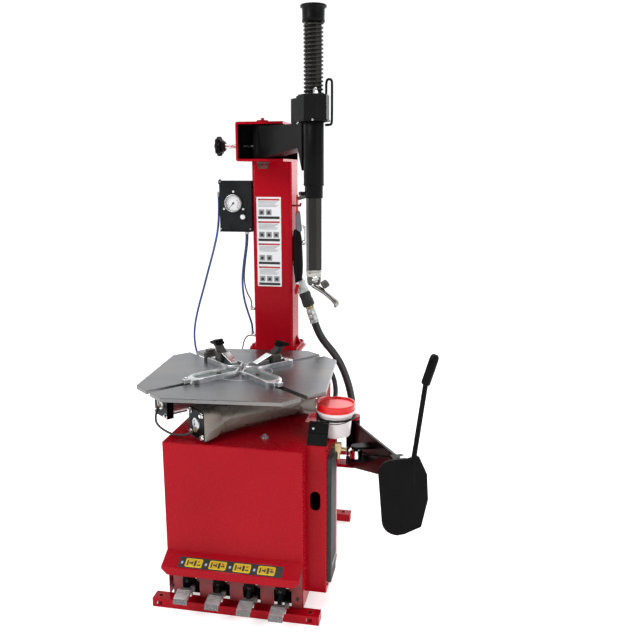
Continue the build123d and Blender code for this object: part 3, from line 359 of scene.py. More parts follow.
def patch(name, corner, across, up, thickness, look, body="frame", bevel=0.0008):
    """A rectangular plate from one corner and its two sides."""
    corner, across, up = Vector(corner), Vector(across), Vector(up)
    corners = [corner, corner + across, corner + across + up, corner + up]
    return slab(name, corners, thickness, look, body, bevel)


def tube(name, points, radius, roundness, steps, look):
    """A round bar or hose on a smooth line through its control points."""
    curve = bpy.data.curves.new(name, "CURVE")
    curve.dimensions = "3D"
    curve.bevel_depth, curve.bevel_resolution, curve.resolution_u = radius, roundness, steps
    curve.use_fill_caps = True
    spline = curve.splines.new("NURBS")
    spline.points.add(len(points) - 1)
    for point, where in zip(spline.points, points):
        point.co = (*where, 1)
    spline.order_u = 3
    spline.use_endpoint_u = True
    curve.materials.append(look)
    piece = bpy.data.objects.new(name, curve)
    scene.collection.objects.link(piece)
    return piece


def wire(name, points, radius, look, body="frame"):
    """A bent round bar that rides on a body."""
    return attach(tube(name, points, radius, 4, 8, look), body)


def marks(name, corner, across, up, rows, step=0.00012):
    """Printed marks on a flat face: rows of (material, x0, y0, x1, y1) in metres from a corner."""
    across, up = Vector(across).normalized(), Vector(up).normalized()
    out = across.cross(up)
    for number, (look, rects) in enumerate(rows):
        points, faces = [], []
        for x0, y0, x1, y1 in rects:
            base = len(points)
            level = Vector(corner) + out * step * (number + 1)
            points += [level + across * x + up * y for x, y in ((x0, y0), (x1, y0), (x1, y1), (x0, y1))]
            faces.append((base, base + 1, base + 2, base + 3))
        add_mesh(f"{name}_{number}", points, faces, look, smooth=False)


# ---------------------------------------------------------------- cords


def cord(name, node, route, diameter, look, body="frame"):
    """A hose along its route that stands for a CAD node, which it hides."""
    piece = tube(name, route, diameter / 2, 6, 10, look)
    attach(piece, body)
    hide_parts(node)


def in_plane(y, *pairs):
    """Points of a line or outline that lies in one upright plane."""
    return [(x, y, z) for x, z in pairs]


BLAST_ROUTE = [(0.11632, 0.338, 0.74594), (0.12788, 0.338, 0.7119), (0.150, 0.346, 0.672),
               (0.178, 0.366, 0.632), (0.203, 0.388, 0.584), (0.222, 0.404, 0.528), (0.237, 0.414, 0.470),
               (0.244, 0.422, 0.416), (0.239, 0.427, 0.370), (0.217, 0.430, 0.331), (0.182, 0.430, 0.300),
               (0.140, 0.430, 0.300)]
cord("blast_hose_tube", "blast_hose", BLAST_ROUTE, 0.028, HOSE)
RETURN_ROUTE = [(0.078, 0.352, 0.604), (0.102, 0.352, 0.604), (0.130, 0.370, 0.594), (0.153, 0.398, 0.568),
                (0.170, 0.413, 0.530), (0.180, 0.419, 0.486), (0.180, 0.421, 0.442), (0.167, 0.421, 0.406),
                (0.138, 0.421, 0.386), (0.106, 0.421, 0.386)]
cord("return_hose_tube", "return_hose", RETURN_ROUTE, 0.019, BLUE_BLACK)
LEFT_ROUTE = in_plane(0.338, (-0.232, 1.190), (-0.232, 1.140), (-0.238, 1.070), (-0.256, 1.000),
                      (-0.278, 0.930), (-0.302, 0.850), (-0.328, 0.770), (-0.345, 0.690), (-0.340, 0.618),
                      (-0.316, 0.556), (-0.278, 0.516), (-0.248, 0.500), (-0.222, 0.500))
cord("left_air_tube", "left_air_line", LEFT_ROUTE, 0.008, BLUE)
RIGHT_ROUTE = in_plane(0.345, (-0.134, 1.060), (-0.134, 1.028), (-0.146, 0.960), (-0.155, 0.886),
                       (-0.149, 0.818), (-0.132, 0.762), (-0.119, 0.724), (-0.119, 0.700))
cord("right_air_tube", "right_air_line", RIGHT_ROUTE, 0.008, BLUE)
UPPER_ROUTE = in_plane(0.328, (-0.124, 1.060), (-0.124, 1.034), (-0.136, 0.960), (-0.143, 0.892),
                       (-0.132, 0.846), (-0.115, 0.820), (-0.115, 0.798))
cord("upper_vent_tube", "vent_lines", UPPER_ROUTE, 0.005, HOSE)
LOWER_ROUTE = in_plane(0.328, (-0.113, 0.690), (-0.126, 0.690), (-0.140, 0.682), (-0.150, 0.660),
                       (-0.155, 0.628), (-0.157, 0.592), (-0.157, 0.556))
cord("lower_vent_tube", "vent_lines", LOWER_ROUTE, 0.005, HOSE)

TABLE_AT = Vector((-0.0455, -0.026, 0))
CYLINDER_TURN = radians(49.4)


def on_table(along, side, z, turn):
    """A point given along and across a direction through the table's axis."""
    c, s = cos(turn), sin(turn)
    return TABLE_AT + Vector((along * c - side * s, along * s + side * c, z))


CLAMP_LINE = [(-0.2413, -0.114, 0.552), (-0.248, -0.107, 0.543), (-0.262, -0.087, 0.534),
              (-0.276, -0.056, 0.530), (-0.280, -0.018, 0.529), (-0.280, 0.022, 0.530),
              (-0.276, 0.058, 0.534), (-0.262, 0.089, 0.543), (-0.248, 0.107, 0.552),
              (-0.2413, 0.114, 0.562)]
CLAMP_ROUTE = [tuple(on_table(along, side, z, CYLINDER_TURN)) for along, side, z in CLAMP_LINE]
cord("clamp_air_tube", "clamp_air_line", CLAMP_ROUTE, 0.007, HOSE, "turntable_body")

# ---------------------------------------------------------------- floor
floor_points = [(-60, -20, 0), (60, -20, 0), (60, 120, 0), (-60, 120, 0)]
floor_mesh = bpy.data.meshes.new("floor")
floor_mesh.from_pydata(floor_points, [], [(0, 1, 2, 3)])
floor_mesh.materials.append(FLOOR)
floor = bpy.data.objects.new("floor", floor_mesh)
scene.collection.objects.link(floor)

# ---------------------------------------------------------------- cabinet and base
SOFTENED = ("gauge_box", "breaker_arm", "breaker_blade", "sloped_guard", "rubber_pad", "lock_cover",
            "turntable", "air_fitting", "valve_lever")
for name in NODE_LOOK[RED] + NODE_LOOK[SATIN] + PEDALS + SOFTENED:
    soften(name)

# The recessed lower front panel gets the darker red as painted shade under the ledge.
repaint("front_panel", DARK_RED, lambda at: at.y > -0.2999 and at.z < 0.2)
# The inner faces of the head's loop get satin black as painted shade inside the loop.
repaint("column_head", SATIN, lambda at: 1.3181 > at.z > 1.3179 or 1.4289 < at.z < 1.4291
        or (1.318 < at.z < 1.429 and (-0.1151 < at.x < -0.1149 or 0.4219 < at.y < 0.4221)))

# Printed strip on the ledge: four yellow panels with plain pictograms
LEDGE_FOOT, LEDGE_HEAD = Vector((-0.157, -0.3482, 0.154)), Vector((-0.157, -0.3082, 0.1752))
ledge_up = (LEDGE_HEAD - LEDGE_FOOT).normalized()
STRIP_W, STRIP_H, PANEL_W, PANEL_STEP, PANEL_IN = 0.312, 0.035, 0.051, 0.0727, 0.020
yellow, dark_shapes, red_spots, small = [], [], [], []
for k in range(4):
    x = PANEL_IN + PANEL_STEP * k
    yellow += [(x, 0.006, x + PANEL_W, 0.029), (x + 0.002, 0.004, x + PANEL_W - 0.002, 0.031)]
    dark_shapes += [(x + 0.005, 0.009, x + 0.009, 0.025), (x + 0.012, 0.015, x + 0.022, 0.019),
                    (x + 0.020, 0.012, x + 0.023, 0.022), (x + 0.027, 0.008, x + 0.033, 0.026)]
    dark_shapes += [(x + 0.036, 0.010 + 0.004 * (k % 2), x + 0.046, 0.014 + 0.004 * (k % 2))]
    red_spots.append((x + 0.038, 0.020, x + 0.042, 0.024))
    small.append((x - 0.013, 0.012, x - 0.007, 0.020))
marks("ledge_strip", LEDGE_FOOT - ledge_up * 0.001, X_AXIS, ledge_up,
      [(INK_BLACK, [(0, 0, STRIP_W, STRIP_H)]), (INK_YELLOW, yellow), (INK_BLACK, dark_shapes),
       (INK_BLUE, small), (INK_RED, red_spots)], step=0.0002)

# Screws in the panels, studs and flange on the top sheet, rings round the anchor holes
TOP_SHEET = 0.518
for number, (x, z) in enumerate([(0.190, 0.060), (0.196, 0.142), (-0.194, 0.060)]):
    cap_screw(f"panel_screw_{number}", (x, -0.302 if z < 0.1 else -0.3022, z), FRONT, 0.0045, DARK_STEEL_AND_SHADE)
for number, (x, y) in enumerate([(0.076, -0.217), (-0.110, -0.230)]):
    size = 0.0085 if number == 0 else 0.006
    lathe(f"top_stud_{number}", (x, y, TOP_SHEET), Z_AXIS,
          [(0, size * 1.5), (0.002, size * 1.5), (0.003, size), (0.008, size), (0.009, size * 0.6),
           (0.0115, size * 0.55), (0.012, size * 0.4)], ZINC, sides=24)
FLANGE = ((0.094, -0.228), (0.150, -0.293), (0.203, -0.3008), (0.203, -0.2960), (0.155, -0.2830),
          (0.101, -0.218))
slab("top_flange", [(x, y, TOP_SHEET) for x, y in FLANGE], 0.0020, RED)
for number, (y, z) in enumerate([(-0.24, 0.50), (-0.08, 0.50), (-0.24, 0.08), (-0.08, 0.08)]):
    cap_screw(f"side_screw_{number}", (0.266, y, z), X_AXIS, 0.004, DARK_STEEL_AND_SHADE)
for number, (x, y) in enumerate([(-0.229, -0.310), (0.229, -0.310), (-0.229, 0.310), (0.229, 0.310)]):
    lathe(f"anchor_ring_{number}", (x, y, 0.028), Z_AXIS,
          [(0, 0.0066), (0.0007, 0.0068), (0.0007, 0.0092), (0, 0.0096)], DARK_RED, sides=32, caps=False)
# Folded seams where the cabinet's sheets meet
for number, (x, y) in enumerate([(-0.2063, -0.2990), (0.2063, -0.2990)]):
    patch(f"corner_seam_{number}", (x, y, 0.19), (0, 0, 0.324), (0, 0.0012, 0),
          0.0003 if x > 0 else -0.0003, DARK_RED, bevel=0)

# Rubber strip's clamp and the guard's ridge and screw
pad_low, pad_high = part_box("rubber_pad")
patch("pad_clip", (pad_high.x + 0.0004, -0.240, 0.132), (0, 0.074, 0), (0, 0, 0.018), 0.0012, GREEN_REFLECTION_ZINC)
for number, z in enumerate((0.2, 0.24, 0.28, 0.34, 0.38, 0.42)):
    patch(f"pad_rib_{number}", (pad_low.x + 0.002, pad_low.y - 0.0012, z),
          (pad_high.x - pad_low.x - 0.007, 0, 0), (0, 0, 0.012), -0.0014, RUBBER)
ridge = [Vector((x, -0.251 + 0.043 * t - 0.0008, 0.518 + 0.058 * t + 0.0006))
         for x, t in ((0.213, 0.52), (0.262, 0.52), (0.262, 0.58), (0.213, 0.58))]
slab("guard_ridge", ridge, 0.0014, PLASTIC)
cap_screw("guard_screw", (0.222, -0.2228, 0.5586), Vector((0, -0.8, 0.6)), 0.0032, PAPER)

# ---------------------------------------------------------------- pedals
BAY_LEFT, BAY_W, BAY_REAR = -0.195, 0.390, -0.222
# Dark sheets behind and under the pedal slots: painted shade inside the cabinet.
patch("pedal_bay_shade_back", (BAY_LEFT, BAY_REAR, 0.040), (BAY_W, 0, 0), (0, 0, 0.260), 0.002, DARK_STEEL_AND_SHADE)
patch("pedal_bay_shade_floor", (BAY_LEFT, -0.290, 0.036), (BAY_W, 0, 0), (0, 0.068, 0), 0.002, DARK_STEEL_AND_SHADE)
for node, x in zip(PEDALS, (-0.137, -0.043, 0.051, 0.145)):
    body = f"{node}_body"
    pad_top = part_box(node)[0].z + 0.025           # level of the pad where its lever ends
    repaint(node, BLACK, lambda at: at.y > -0.3395)
    repaint(node, BRIGHT, lambda at: at.y < -0.3845)
    for rib in range(6):
        y = -0.354 - 0.0052 * rib
        z = pad_top + (-0.350 - y) / 0.036 * -0.009
        patch(f"{node}_rib_{rib}", (x - 0.019, y - 0.0014, z - 0.0002), (0.038, 0, 0), (0, 0.0028, 0.0008),
              0.0013, ALLOY, body, bevel=0.0004)
    patch(f"{node}_clip", (x + 0.0175, -0.340, pad_top - 0.004), (0.0125, 0, 0), (0, 0, 0.016), 0.010,
          BROWN_STEEL, body)
    hex_bolt(f"{node}_bolt", (x, -0.3241, 0.095), FRONT, 0.0045, 0.004, DARK_STEEL_AND_SHADE, body)

# ---------------------------------------------------------------- turntable and clamps
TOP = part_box("turntable")[1].z
NOSE_START, NOSE_LENGTH = 0.160, 0.032        # rounded outer end of a clamp slide
lathe("table_ring", TABLE_AT + Z_AXIS * TOP, Z_AXIS,
      [(0, 0.0925), (0.0002, 0.0930), (0.0002, 0.0952), (0, 0.0957)], BRIGHT, "turntable_body", sides=96,
      caps=False)
lathe("table_hub", TABLE_AT + Z_AXIS * TOP, Z_AXIS,
      [(0, 0.0125), (0.0016, 0.0125), (0.0026, 0.0112), (0.0026, 0.0)], ZINC, "turntable_body", sides=48)


def nose_share(along):
    """0 along the straight part of a slide, 1 at the tip of its nose."""
    return max(0.0, (along - NOSE_START) / NOSE_LENGTH)


def inset(outline, amount, inner, outer):
    """Move the points of a slide's outline towards its centre line."""
    moved = []
    for along, side in outline:
        centre = Vector((min(max(along, inner), outer), 0))
        away = Vector((along, side)) - centre
        moved.append(centre + away * max(0.0, 1 - amount * (1 + 3.0 * nose_share(along)) / away.length))
    return [(p.x, p.y) for p in moved]


def on_slide(turn, along, side, height):
    return on_table(along, side, TOP + 0.0003 + height, turn)


def bar(name, turn, body, look, span, sides, heights, lean=0.0, bevel=0.001):
    """A block on a slide; lean moves its top outward."""
    (a0, a1), (z0, z1) = span, heights
    corners = ((a0, -sides), (a1, -sides), (a1, sides), (a0, sides))
    low = [on_slide(turn, a, s, z0) for a, s in corners]
    high = [on_slide(turn, a + lean, s, z1) for a, s in corners]
    prism(name, low + high, look, body, bevel)


def toothed(name, turn, body, look, span, sides, heights, teeth=7, depth=0.003):
    """A gripping bar: its outer edge is cut into teeth."""
    (a0, a1), (z0, z1) = span, heights
    edge = [(a0, -sides), (a0, sides)]
    for k in range(2 * teeth + 1):
        edge.append((a1 - (depth if k % 2 else 0), sides - k * sides / teeth))
    prism(name, [on_slide(turn, a, s, z) for z in (z0, z1) for a, s in edge], look, body, 0.0005)


def clamp(place, turn, upright):
    """One clamp: a dished slide with its guide, and the upright jaw of the rear pair."""
    node, body = f"clamp_{place}", f"clamp_{place}_body"
    half = 0.031
    outline = [(0.013, -0.002), (0.041, -0.030), (0.060, -half), (0.100, -half), (0.155, -half)]
    nose = [radians(a) for a in range(15, 180, 15)]
    outline += [(NOSE_START + NOSE_LENGTH * sin(a), -half * cos(a)) for a in nose]
    outline += [(0.155, half), (0.100, half), (0.060, half), (0.041, 0.030), (0.013, 0.002)]
    count = len(outline)
    levels = ((0, 0.0), (0, 0.0152), (0.0008, 0.0162), (0.0052, 0.0162), (0.0068, 0.0092))
    points = []
    for amount, height in levels:
        for along, side in inset(outline, amount, 0.060, 0.150):
            points.append(on_slide(turn, along, side, height * (1 - 0.38 * nose_share(along) * (height > 0))))
    faces = ends(len(levels), count) + skin(len(levels), count)
    slide = add_mesh(f"slide_{place}", points, faces, ZINC, body)
    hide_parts(node)
    # The dish on the slide's top is dark green as painted reflection.
    dish = [on_slide(turn, a, s, 0.0094) for a, s in inset(outline, 0.0069, 0.060, 0.150)]
    slab(f"slide_dish_{place}", dish, 0.0003, GREEN_REFLECTION_ZINC, body, bevel=0)
    bar(f"slide_guide_{place}", turn, body, BROWN_STEEL, (0.092, 0.168), 0.0105, (-0.0145, -0.0006))
    bar(f"slide_keeper_{place}", turn, body, BROWN_STEEL, (0.077, 0.183), 0.0215, (-0.0265, -0.0150))
    hex_bolt(f"slide_screw_{place}", on_slide(turn, 0.158 if upright else 0.086, 0, 0.0096), Z_AXIS, 0.0060,
             0.0045, BROWN_STEEL, body)
    if upright:
        bar(f"jaw_block_{place}", turn, body, BROWN_STEEL, (0.104, 0.138), 0.018, (0.0096, 0.040),
            bevel=0.002)
        bar(f"jaw_post_{place}", turn, body, DARK_STEEL_AND_SHADE, (0.110, 0.134), 0.012, (0.038, 0.0632), lean=0.028)
        toothed(f"jaw_grip_{place}", turn, body, SATIN, (0.134, 0.172), 0.0165, (0.0620, 0.0705))
        toothed(f"jaw_lip_{place}", turn, body, SATIN, (0.139, 0.153), 0.0150, (0.0703, 0.0780), teeth=5)
        hex_bolt(f"jaw_bolt_{place}", on_slide(turn, 0.1405, 0, 0.026),
                 on_slide(turn, 1, 0, 0) - on_slide(turn, 0, 0, 0), 0.008, 0.006, ZINC, body)
        plate = [on_slide(turn, a, s, z) for a, s, z in ((0.046, -0.012, 0.0172), (0.103, -0.015, 0.0395),
                                                         (0.103, 0.015, 0.0395), (0.046, 0.012, 0.0172))]
        slab(f"jaw_ramp_{place}", plate, 0.003, BRIGHT, body, bevel=0.001)
        bar(f"jaw_web_{place}", turn, body, ZINC, (0.066, 0.103), 0.004, (0.0096, 0.022))
    else:
        bar(f"slot_block_{place}", turn, body, ZINC, (0.186, 0.209), 0.009, (0.0008, 0.0135), bevel=0.0015)
        hex_bolt(f"slot_bolt_{place}", on_slide(turn, 0.200, 0, 0.0135), Z_AXIS, 0.0055, 0.004, BRIGHT,
                 body)


for quarter, place in enumerate(("rear_right", "rear_left", "front_left", "front_right")):
    clamp(place, radians(49.4 + 90 * quarter), place.startswith("rear"))
left_turn = radians(139.4)
HEELS = (((0.186, 0.204), 0.024, (-0.002, 0.026)), ((0.190, 0.212), 0.013, (0.004, 0.034)))
for number, (span, sides, heights) in enumerate(HEELS):
    bar(f"jaw_heel_{number}", left_turn, "clamp_rear_left_body", BROWN_STEEL, span, sides, heights,
        bevel=0.002)

# ---------------------------------------------------------------- clamp cylinders under the table
CYL_MID, CYL_Z, CYL_HALF, CYL_SIDE = -0.0293, 0.570, 0.180, 0.114
CAP_NEAR, CAP_FAR = CYL_MID - CYL_HALF - 0.022, CYL_MID + CYL_HALF + 0.022
cylinder_axis = on_table(1, 0, 0, CYLINDER_TURN) - on_table(0, 0, 0, CYLINDER_TURN)


def along_cylinder(at):
    relative = at - TABLE_AT
    return relative.x * cylinder_axis.x + relative.y * cylinder_axis.y - CYL_MID


# The black on the clamp cylinders' end caps and top faces is partly their paint and partly painted shade
# under the turntable.
repaint("clamp_cylinders", BLACK,
        lambda at: abs(along_cylinder(at)) > CYL_HALF - 0.0005 or at.z > CYL_Z + 0.039)
for side_number, side in enumerate((-CYL_SIDE, CYL_SIDE)):
    for end_number, (end, sign) in enumerate(((CAP_NEAR, -1), (CAP_FAR, 1))):
        face = cylinder_axis * sign
        for k in range(4):
            offset, height = (0.0325 if k % 2 else -0.0325), (0.0325 if k > 1 else -0.0325)
            hex_bolt(f"cap_bolt_{side_number}_{end_number}_{k}",
                     on_table(end, side + offset, CYL_Z + height, CYLINDER_TURN), face, 0.0062, 0.0065,
                     BRIGHT, "turntable_body")
    lathe(f"cap_port_{side_number}", on_table(CAP_NEAR, side, CYL_Z, CYLINDER_TURN), -cylinder_axis,
          [(0, 0.0185), (0.003, 0.0180), (0.0042, 0.0160), (0.0042, 0.0125), (0.001, 0.0115),
           (0.0005, 0.0)], ZINC, "turntable_body")
# Tie rods of the rear cylinder; the film hides the front one's
for k, height in enumerate((-0.031, 0.031)):
    for j, offset in enumerate((-0.031, 0.031)):
        start = on_table(CAP_NEAR + 0.02, CYL_SIDE + offset, CYL_Z + height, CYLINDER_TURN)
        rod_line = [start, start + cylinder_axis * 0.18, start + cylinder_axis * 0.364]
        wire(f"tie_rod_{k}_{j}", rod_line, 0.003, ZINC, "turntable_body")
# Tube fittings at the two ends of the cross line
for number, (along, side, z) in enumerate(((CAP_NEAR, -CYL_SIDE, 0.552), (CAP_NEAR, CYL_SIDE, 0.562))):
    lathe(f"elbow_{number}", on_table(CAP_NEAR, side, z, CYLINDER_TURN), -cylinder_axis,
          [(0, 0.0075), (0.004, 0.0075), (0.0045, 0.006), (0.0085, 0.0058), (0.009, 0.0045)], BRASS,
          "turntable_body", sides=6)


def wrapped_film():
    """Loose film around the front cylinder: square over its end caps, round and sagging between."""
    rings, sides = 80, 112
    points = []
    start, stop = CAP_NEAR + 0.0004, CAP_FAR - 0.004
    for i in range(rings):
        along = start + (stop - start) * i / (rings - 1)
        share = i / (rings - 1)
        square = max(0.0, 1 - min(along - start, stop - along) / 0.060)
        power = 2 + 12 * square
        for k in range(sides):
            turn = 2 * pi * k / sides
            c, d = cos(turn), sin(turn)
            radius = 0.0432 + 0.0016 * square
            radius *= (abs(c) ** power + abs(d) ** power) ** (-1 / power)
            loose = 1 - 0.7 * square
            radius += loose * 0.0010 * sin(3 * turn + 11 * along)
            radius += loose * 0.0007 * sin(8 * turn - 24 * along + 1.3)
            radius += loose * 0.0009 * max(0.0, sin(5 * turn + 46 * along)) ** 6
            radius += 0.0030 * max(0.0, -d) ** 3 * (1 - share) * loose
            points.append(on_table(along, -CYL_SIDE + radius * c, CYL_Z + radius * d, CYLINDER_TURN))
    add_mesh("cylinder_film", points, skin(rings, sides), FILM, "turntable_body")


wrapped_film()
repaint("clamp_cylinders", ALLOY, lambda at: abs(along_cylinder(at)) <= CYL_HALF - 0.0005
        and at.z <= CYL_Z + 0.039 and (at - TABLE_AT).cross(cylinder_axis).z < 0)

# ---------------------------------------------------------------- column, label and head
COLUMN_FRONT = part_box("column")[0].y
LABEL_X, LABEL_Z, LABEL_W, LABEL_H = -0.088, 0.875, 0.088, 0.315
header, bars, lines, frames = [], [], [], []
for part, (z0, z1) in enumerate(((0.238, 0.312), (0.160, 0.234), (0.078, 0.156), (0.003, 0.074))):
    header.append((0.005, z1 - 0.009, LABEL_W - 0.005, z1 - 0.003))
    bars.append((0.005, z0 + 0.001, LABEL_W - 0.005, z0 + 0.010))
    for k in range(5):
        low = z1 - 0.014 - 0.0042 * k
        lines.append((0.007, low, LABEL_W - 0.010 - 0.006 * (k % 3), low + 0.0018))
    for k in range(2 + part % 2):
        frames.append((0.008 + 0.026 * k, z0 + 0.014, 0.028 + 0.026 * k, z0 + 0.034))
triangles = [(0.008, row[1] + 0.001, 0.014, row[3] - 0.001) for row in header]
symbols = [(x0 + 0.005, y0 + 0.004, x1 - 0.005, y1 - 0.006) for x0, y0, x1, y1 in frames]
paper = [(0, 0, LABEL_W, LABEL_H)]
marks("column_label", (LABEL_X, COLUMN_FRONT + 0.008, LABEL_Z), X_AXIS, Z_AXIS,
      [(PAPER, paper), (INK_RED, header), (INK_BLACK, bars + triangles), (INK_GREY, lines + frames),
       (INK_BLACK, symbols)])

SCREW_Y, SCREW_Z = 0.278, 1.361
lathe("head_nut", (-0.1365, SCREW_Y, SCREW_Z), X_AXIS,
      [(0, 0.0150), (0.0015, 0.0178), (0.0120, 0.0178), (0.0133, 0.0160)], RED, sides=6)
threads = [(0.0015 * k, 0.00795 if k % 2 else 0.0069) for k in range(74)]
rod = lathe("stop_rod", (-0.193, SCREW_Y, SCREW_Z), X_AXIS, threads + [(0.1115, 0.0055)], BRIGHT,
            "stop_screw_body")
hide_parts("stop_screw")
lathe("stop_knob", (-0.214, SCREW_Y, SCREW_Z), X_AXIS,
      [(0, 0.008), (0.0005, 0.021), (0.003, 0.0285), (0.006, 0.030), (0.016, 0.030), (0.019, 0.0285),
       (0.0215, 0.020)], PLASTIC, "stop_screw_body", sides=96, lobes=8, lobe=0.085)
lathe("stop_knob_neck", (-0.193, SCREW_Y, SCREW_Z), X_AXIS,
      [(0, 0.018), (0.003, 0.0185), (0.009, 0.0165), (0.012, 0.0145), (0.013, 0.010)], PLASTIC,
      "stop_screw_body", lobes=8, lobe=0.05, sides=64)

PIVOT = Vector((-0.044, 0.258, 0))
lathe("pivot_nut", PIVOT + Z_AXIS * 1.2865, Z_AXIS,
      [(0, 0.0165), (0.0015, 0.0188), (0.0165, 0.0188), (0.0175, 0.0180), (0.0178, 0.0225),
       (0.0215, 0.0228)], BROWN_STEEL, sides=6)
lathe("pivot_cap", PIVOT + Z_AXIS * 1.4405, Z_AXIS,
      [(0, 0.0195), (0.0012, 0.0200), (0.003, 0.0190), (0.004, 0.0060), (0.0095, 0.0055), (0.011, 0.003)],
      RED)

# ---------------------------------------------------------------- swing arm end: cover, spring, cap, lever
SHAFT = Vector((0.181, -0.002, 0))
COVER_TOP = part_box("lock_cover")[1].z


def by_shaft(x, y, z):
    """A point given from the axis of the tool shaft."""
    return SHAFT + Vector((x, y, z))


hex_bolt("cover_nut", by_shaft(0.012, -0.0335, COVER_TOP - 0.0002), Z_AXIS, 0.0072, 0.011, BRIGHT,
         "swing_body")
lathe("cover_stud", by_shaft(0.012, -0.0335, COVER_TOP + 0.010), Z_AXIS,
      [(0, 0.0042), (0.005, 0.0042), (0.006, 0.0034)], BRIGHT, "swing_body", sides=20)
cap_screw("cover_screw", by_shaft(0.006, -0.0475, 1.4225), FRONT, 0.0030, ZINC, "swing_body")
slab("cover_rod_end", [(0.127, 0.012, 1.4140), (0.135, 0.004, 1.4190), (0.1365, 0.0055, 1.4190),
                       (0.1285, 0.0135, 1.4140)], 0.003, BRIGHT, "swing_body", bevel=0.0004)


def coil_spring():
    """Return spring: open coils around the shaft, wound as one wire."""
    base, top, radius, wire_radius, coils = 1.4982, 1.6868, 0.0270, 0.0029, 17
    steps, points = coils * 16, []
    for k in range(steps + 1):
        turn, share = 2 * pi * k / 16, k / steps
        points.append(by_shaft(radius * cos(turn), radius * sin(turn), base + (top - base) * share))
    helper = tube("spring_line", points, wire_radius, 4, 2, DARK_STEEL_AND_SHADE)
    bpy.context.view_layer.update()
    mesh = bpy.data.meshes.new_from_object(helper.evaluated_get(bpy.context.evaluated_depsgraph_get()))
    bpy.data.objects.remove(helper)
    spring = bpy.data.objects.new("return_coil", mesh)
    scene.collection.objects.link(spring)
    mesh.materials.clear()
    mesh.materials.append(DARK_STEEL_AND_SHADE)
    mesh.shade_smooth()
    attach(spring, "swing_body")
    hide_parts("return_spring")
    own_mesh(spring)


coil_spring()
cap = lathe("shaft_knob", by_shaft(0, 0, 1.6905), Z_AXIS,
            [(0, 0.0305), (0.001, 0.0325), (0.005, 0.0330), (0.0065, 0.0320), (0.0330, 0.0322),
             (0.0372, 0.0328), (0.0395, 0.0355), (0.0410, 0.0378), (0.0445, 0.0380), (0.0460, 0.0370),
             (0.0472, 0.026), (0.0474, 0.001)], PLASTIC, "shaft_body", sides=64)
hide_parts("shaft_cap")
LEVER = in_plane(SHAFT.y, (0.218, 1.496), (0.218, 1.512), (0.218, 1.524), (0.220, 1.535), (0.227, 1.5375),
                 (0.2345, 1.534), (0.2350, 1.520), (0.2350, 1.470), (0.2350, 1.430), (0.2345, 1.413),
                 (0.228, 1.410), (0.215, 1.410))
lever = wire("lock_handle", LEVER, 0.0036, PLASTIC, "lock_lever_body")
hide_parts("lock_lever")
lathe("sleeve_band", by_shaft(0, 0, 1.2375), Z_AXIS,
      [(0, 0.0301), (0.001, 0.0309), (0.003, 0.0309), (0.004, 0.0301)], SATIN, "swing_body", sides=64)
hex_bolt("sleeve_bolt", by_shaft(-0.0385, 0, 1.213), -X_AXIS, 0.0062, 0.006, BROWN_STEEL, "swing_body")

# ---------------------------------------------------------------- mounting head (duck bill)
lathe("bill_collar", by_shaft(0, 0, 0.9640), Z_AXIS,
      [(0, 0.0215), (0.0015, 0.0228), (0.0140, 0.0232), (0.0150, 0.0240), (0.0200, 0.0240),
       (0.0210, 0.0230)], CHROME, "shaft_body", sides=56)
lathe("bill_foot", by_shaft(0, 0, 0.9360), Z_AXIS,
      [(0, 0.0120), (0.003, 0.0175), (0.010, 0.0205), (0.022, 0.0215), (0.0285, 0.0208)], BROWN_STEEL,
      "shaft_body", sides=48)
cap_screw("bill_bolt", by_shaft(0.008, -0.0185, 0.9590), Vector((0.25, -1, 0.05)), 0.0105, BRIGHT,
          "shaft_body")
lathe("bill_roller", by_shaft(0.030, -0.013, 0.9530), Vector((0.55, -0.1, -0.72)),
      [(0, 0.0085), (0.004, 0.0110), (0.012, 0.0118), (0.020, 0.0112), (0.0235, 0.0080)], BROWN_STEEL,
      "shaft_body")


def duck_bill():
    """The polished bill: a rounded section that narrows, then spreads into its curved nose."""
    stations = [((-0.006, 0.944), 0.022, 0.018), ((0.010, 0.936), 0.026, 0.018),
                ((0.026, 0.926), 0.026, 0.016), ((0.042, 0.914), 0.023, 0.014),
                ((0.056, 0.903), 0.024, 0.015), ((0.066, 0.895), 0.030, 0.018),
                ((0.073, 0.887), 0.034, 0.020), ((0.072, 0.879), 0.030, 0.016),
                ((0.066, 0.8745), 0.022, 0.010)]
    count, points = 16, []
    for i, ((x, z), width, height) in enumerate(stations):
        before = stations[max(0, i - 1)][0]
        after = stations[min(len(stations) - 1, i + 1)][0]
        slope = Vector((after[0] - before[0], after[1] - before[1])).normalized()
        for k in range(count):
            turn = 2 * pi * k / count
            side, lift = cos(turn) * width / 2, sin(turn) * height / 2
            points.append(by_shaft(x - slope.y * lift, side - 0.014, z + slope.x * lift))
    faces = skin(len(stations), count) + ends(len(stations), count)
    bill = add_mesh("duck_bill", points, faces, CHROME, "shaft_body")
    smooth = bill.modifiers.new("smooth", "SUBSURF")
    smooth.levels = smooth.render_levels = 2
    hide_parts("mount_head")


duck_bill()

# ---------------------------------------------------------------- gauge box
box_low, box_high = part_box("gauge_box")
GAUGE_X, GAUGE_Z, PANEL_Y = -0.169, 1.168, 0.312
DIAL_Y, DIAL_R = PANEL_Y - 0.0032, 0.0266
lathe("gauge_bezel", (GAUGE_X, PANEL_Y, GAUGE_Z), FRONT,
      [(0, 0.0306), (0.0060, 0.0310), (0.0092, 0.0304), (0.0100, 0.0286), (0.0088, 0.0272),
       (0.0033, 0.0268)], ALLOY, sides=64, caps=False)
around = [2 * pi * k / 48 for k in range(48)]
dial = [(GAUGE_X + DIAL_R * cos(a), DIAL_Y, GAUGE_Z + DIAL_R * sin(a)) for a in around]
slab("gauge_dial", dial, 0.0001, PAPER, bevel=0)


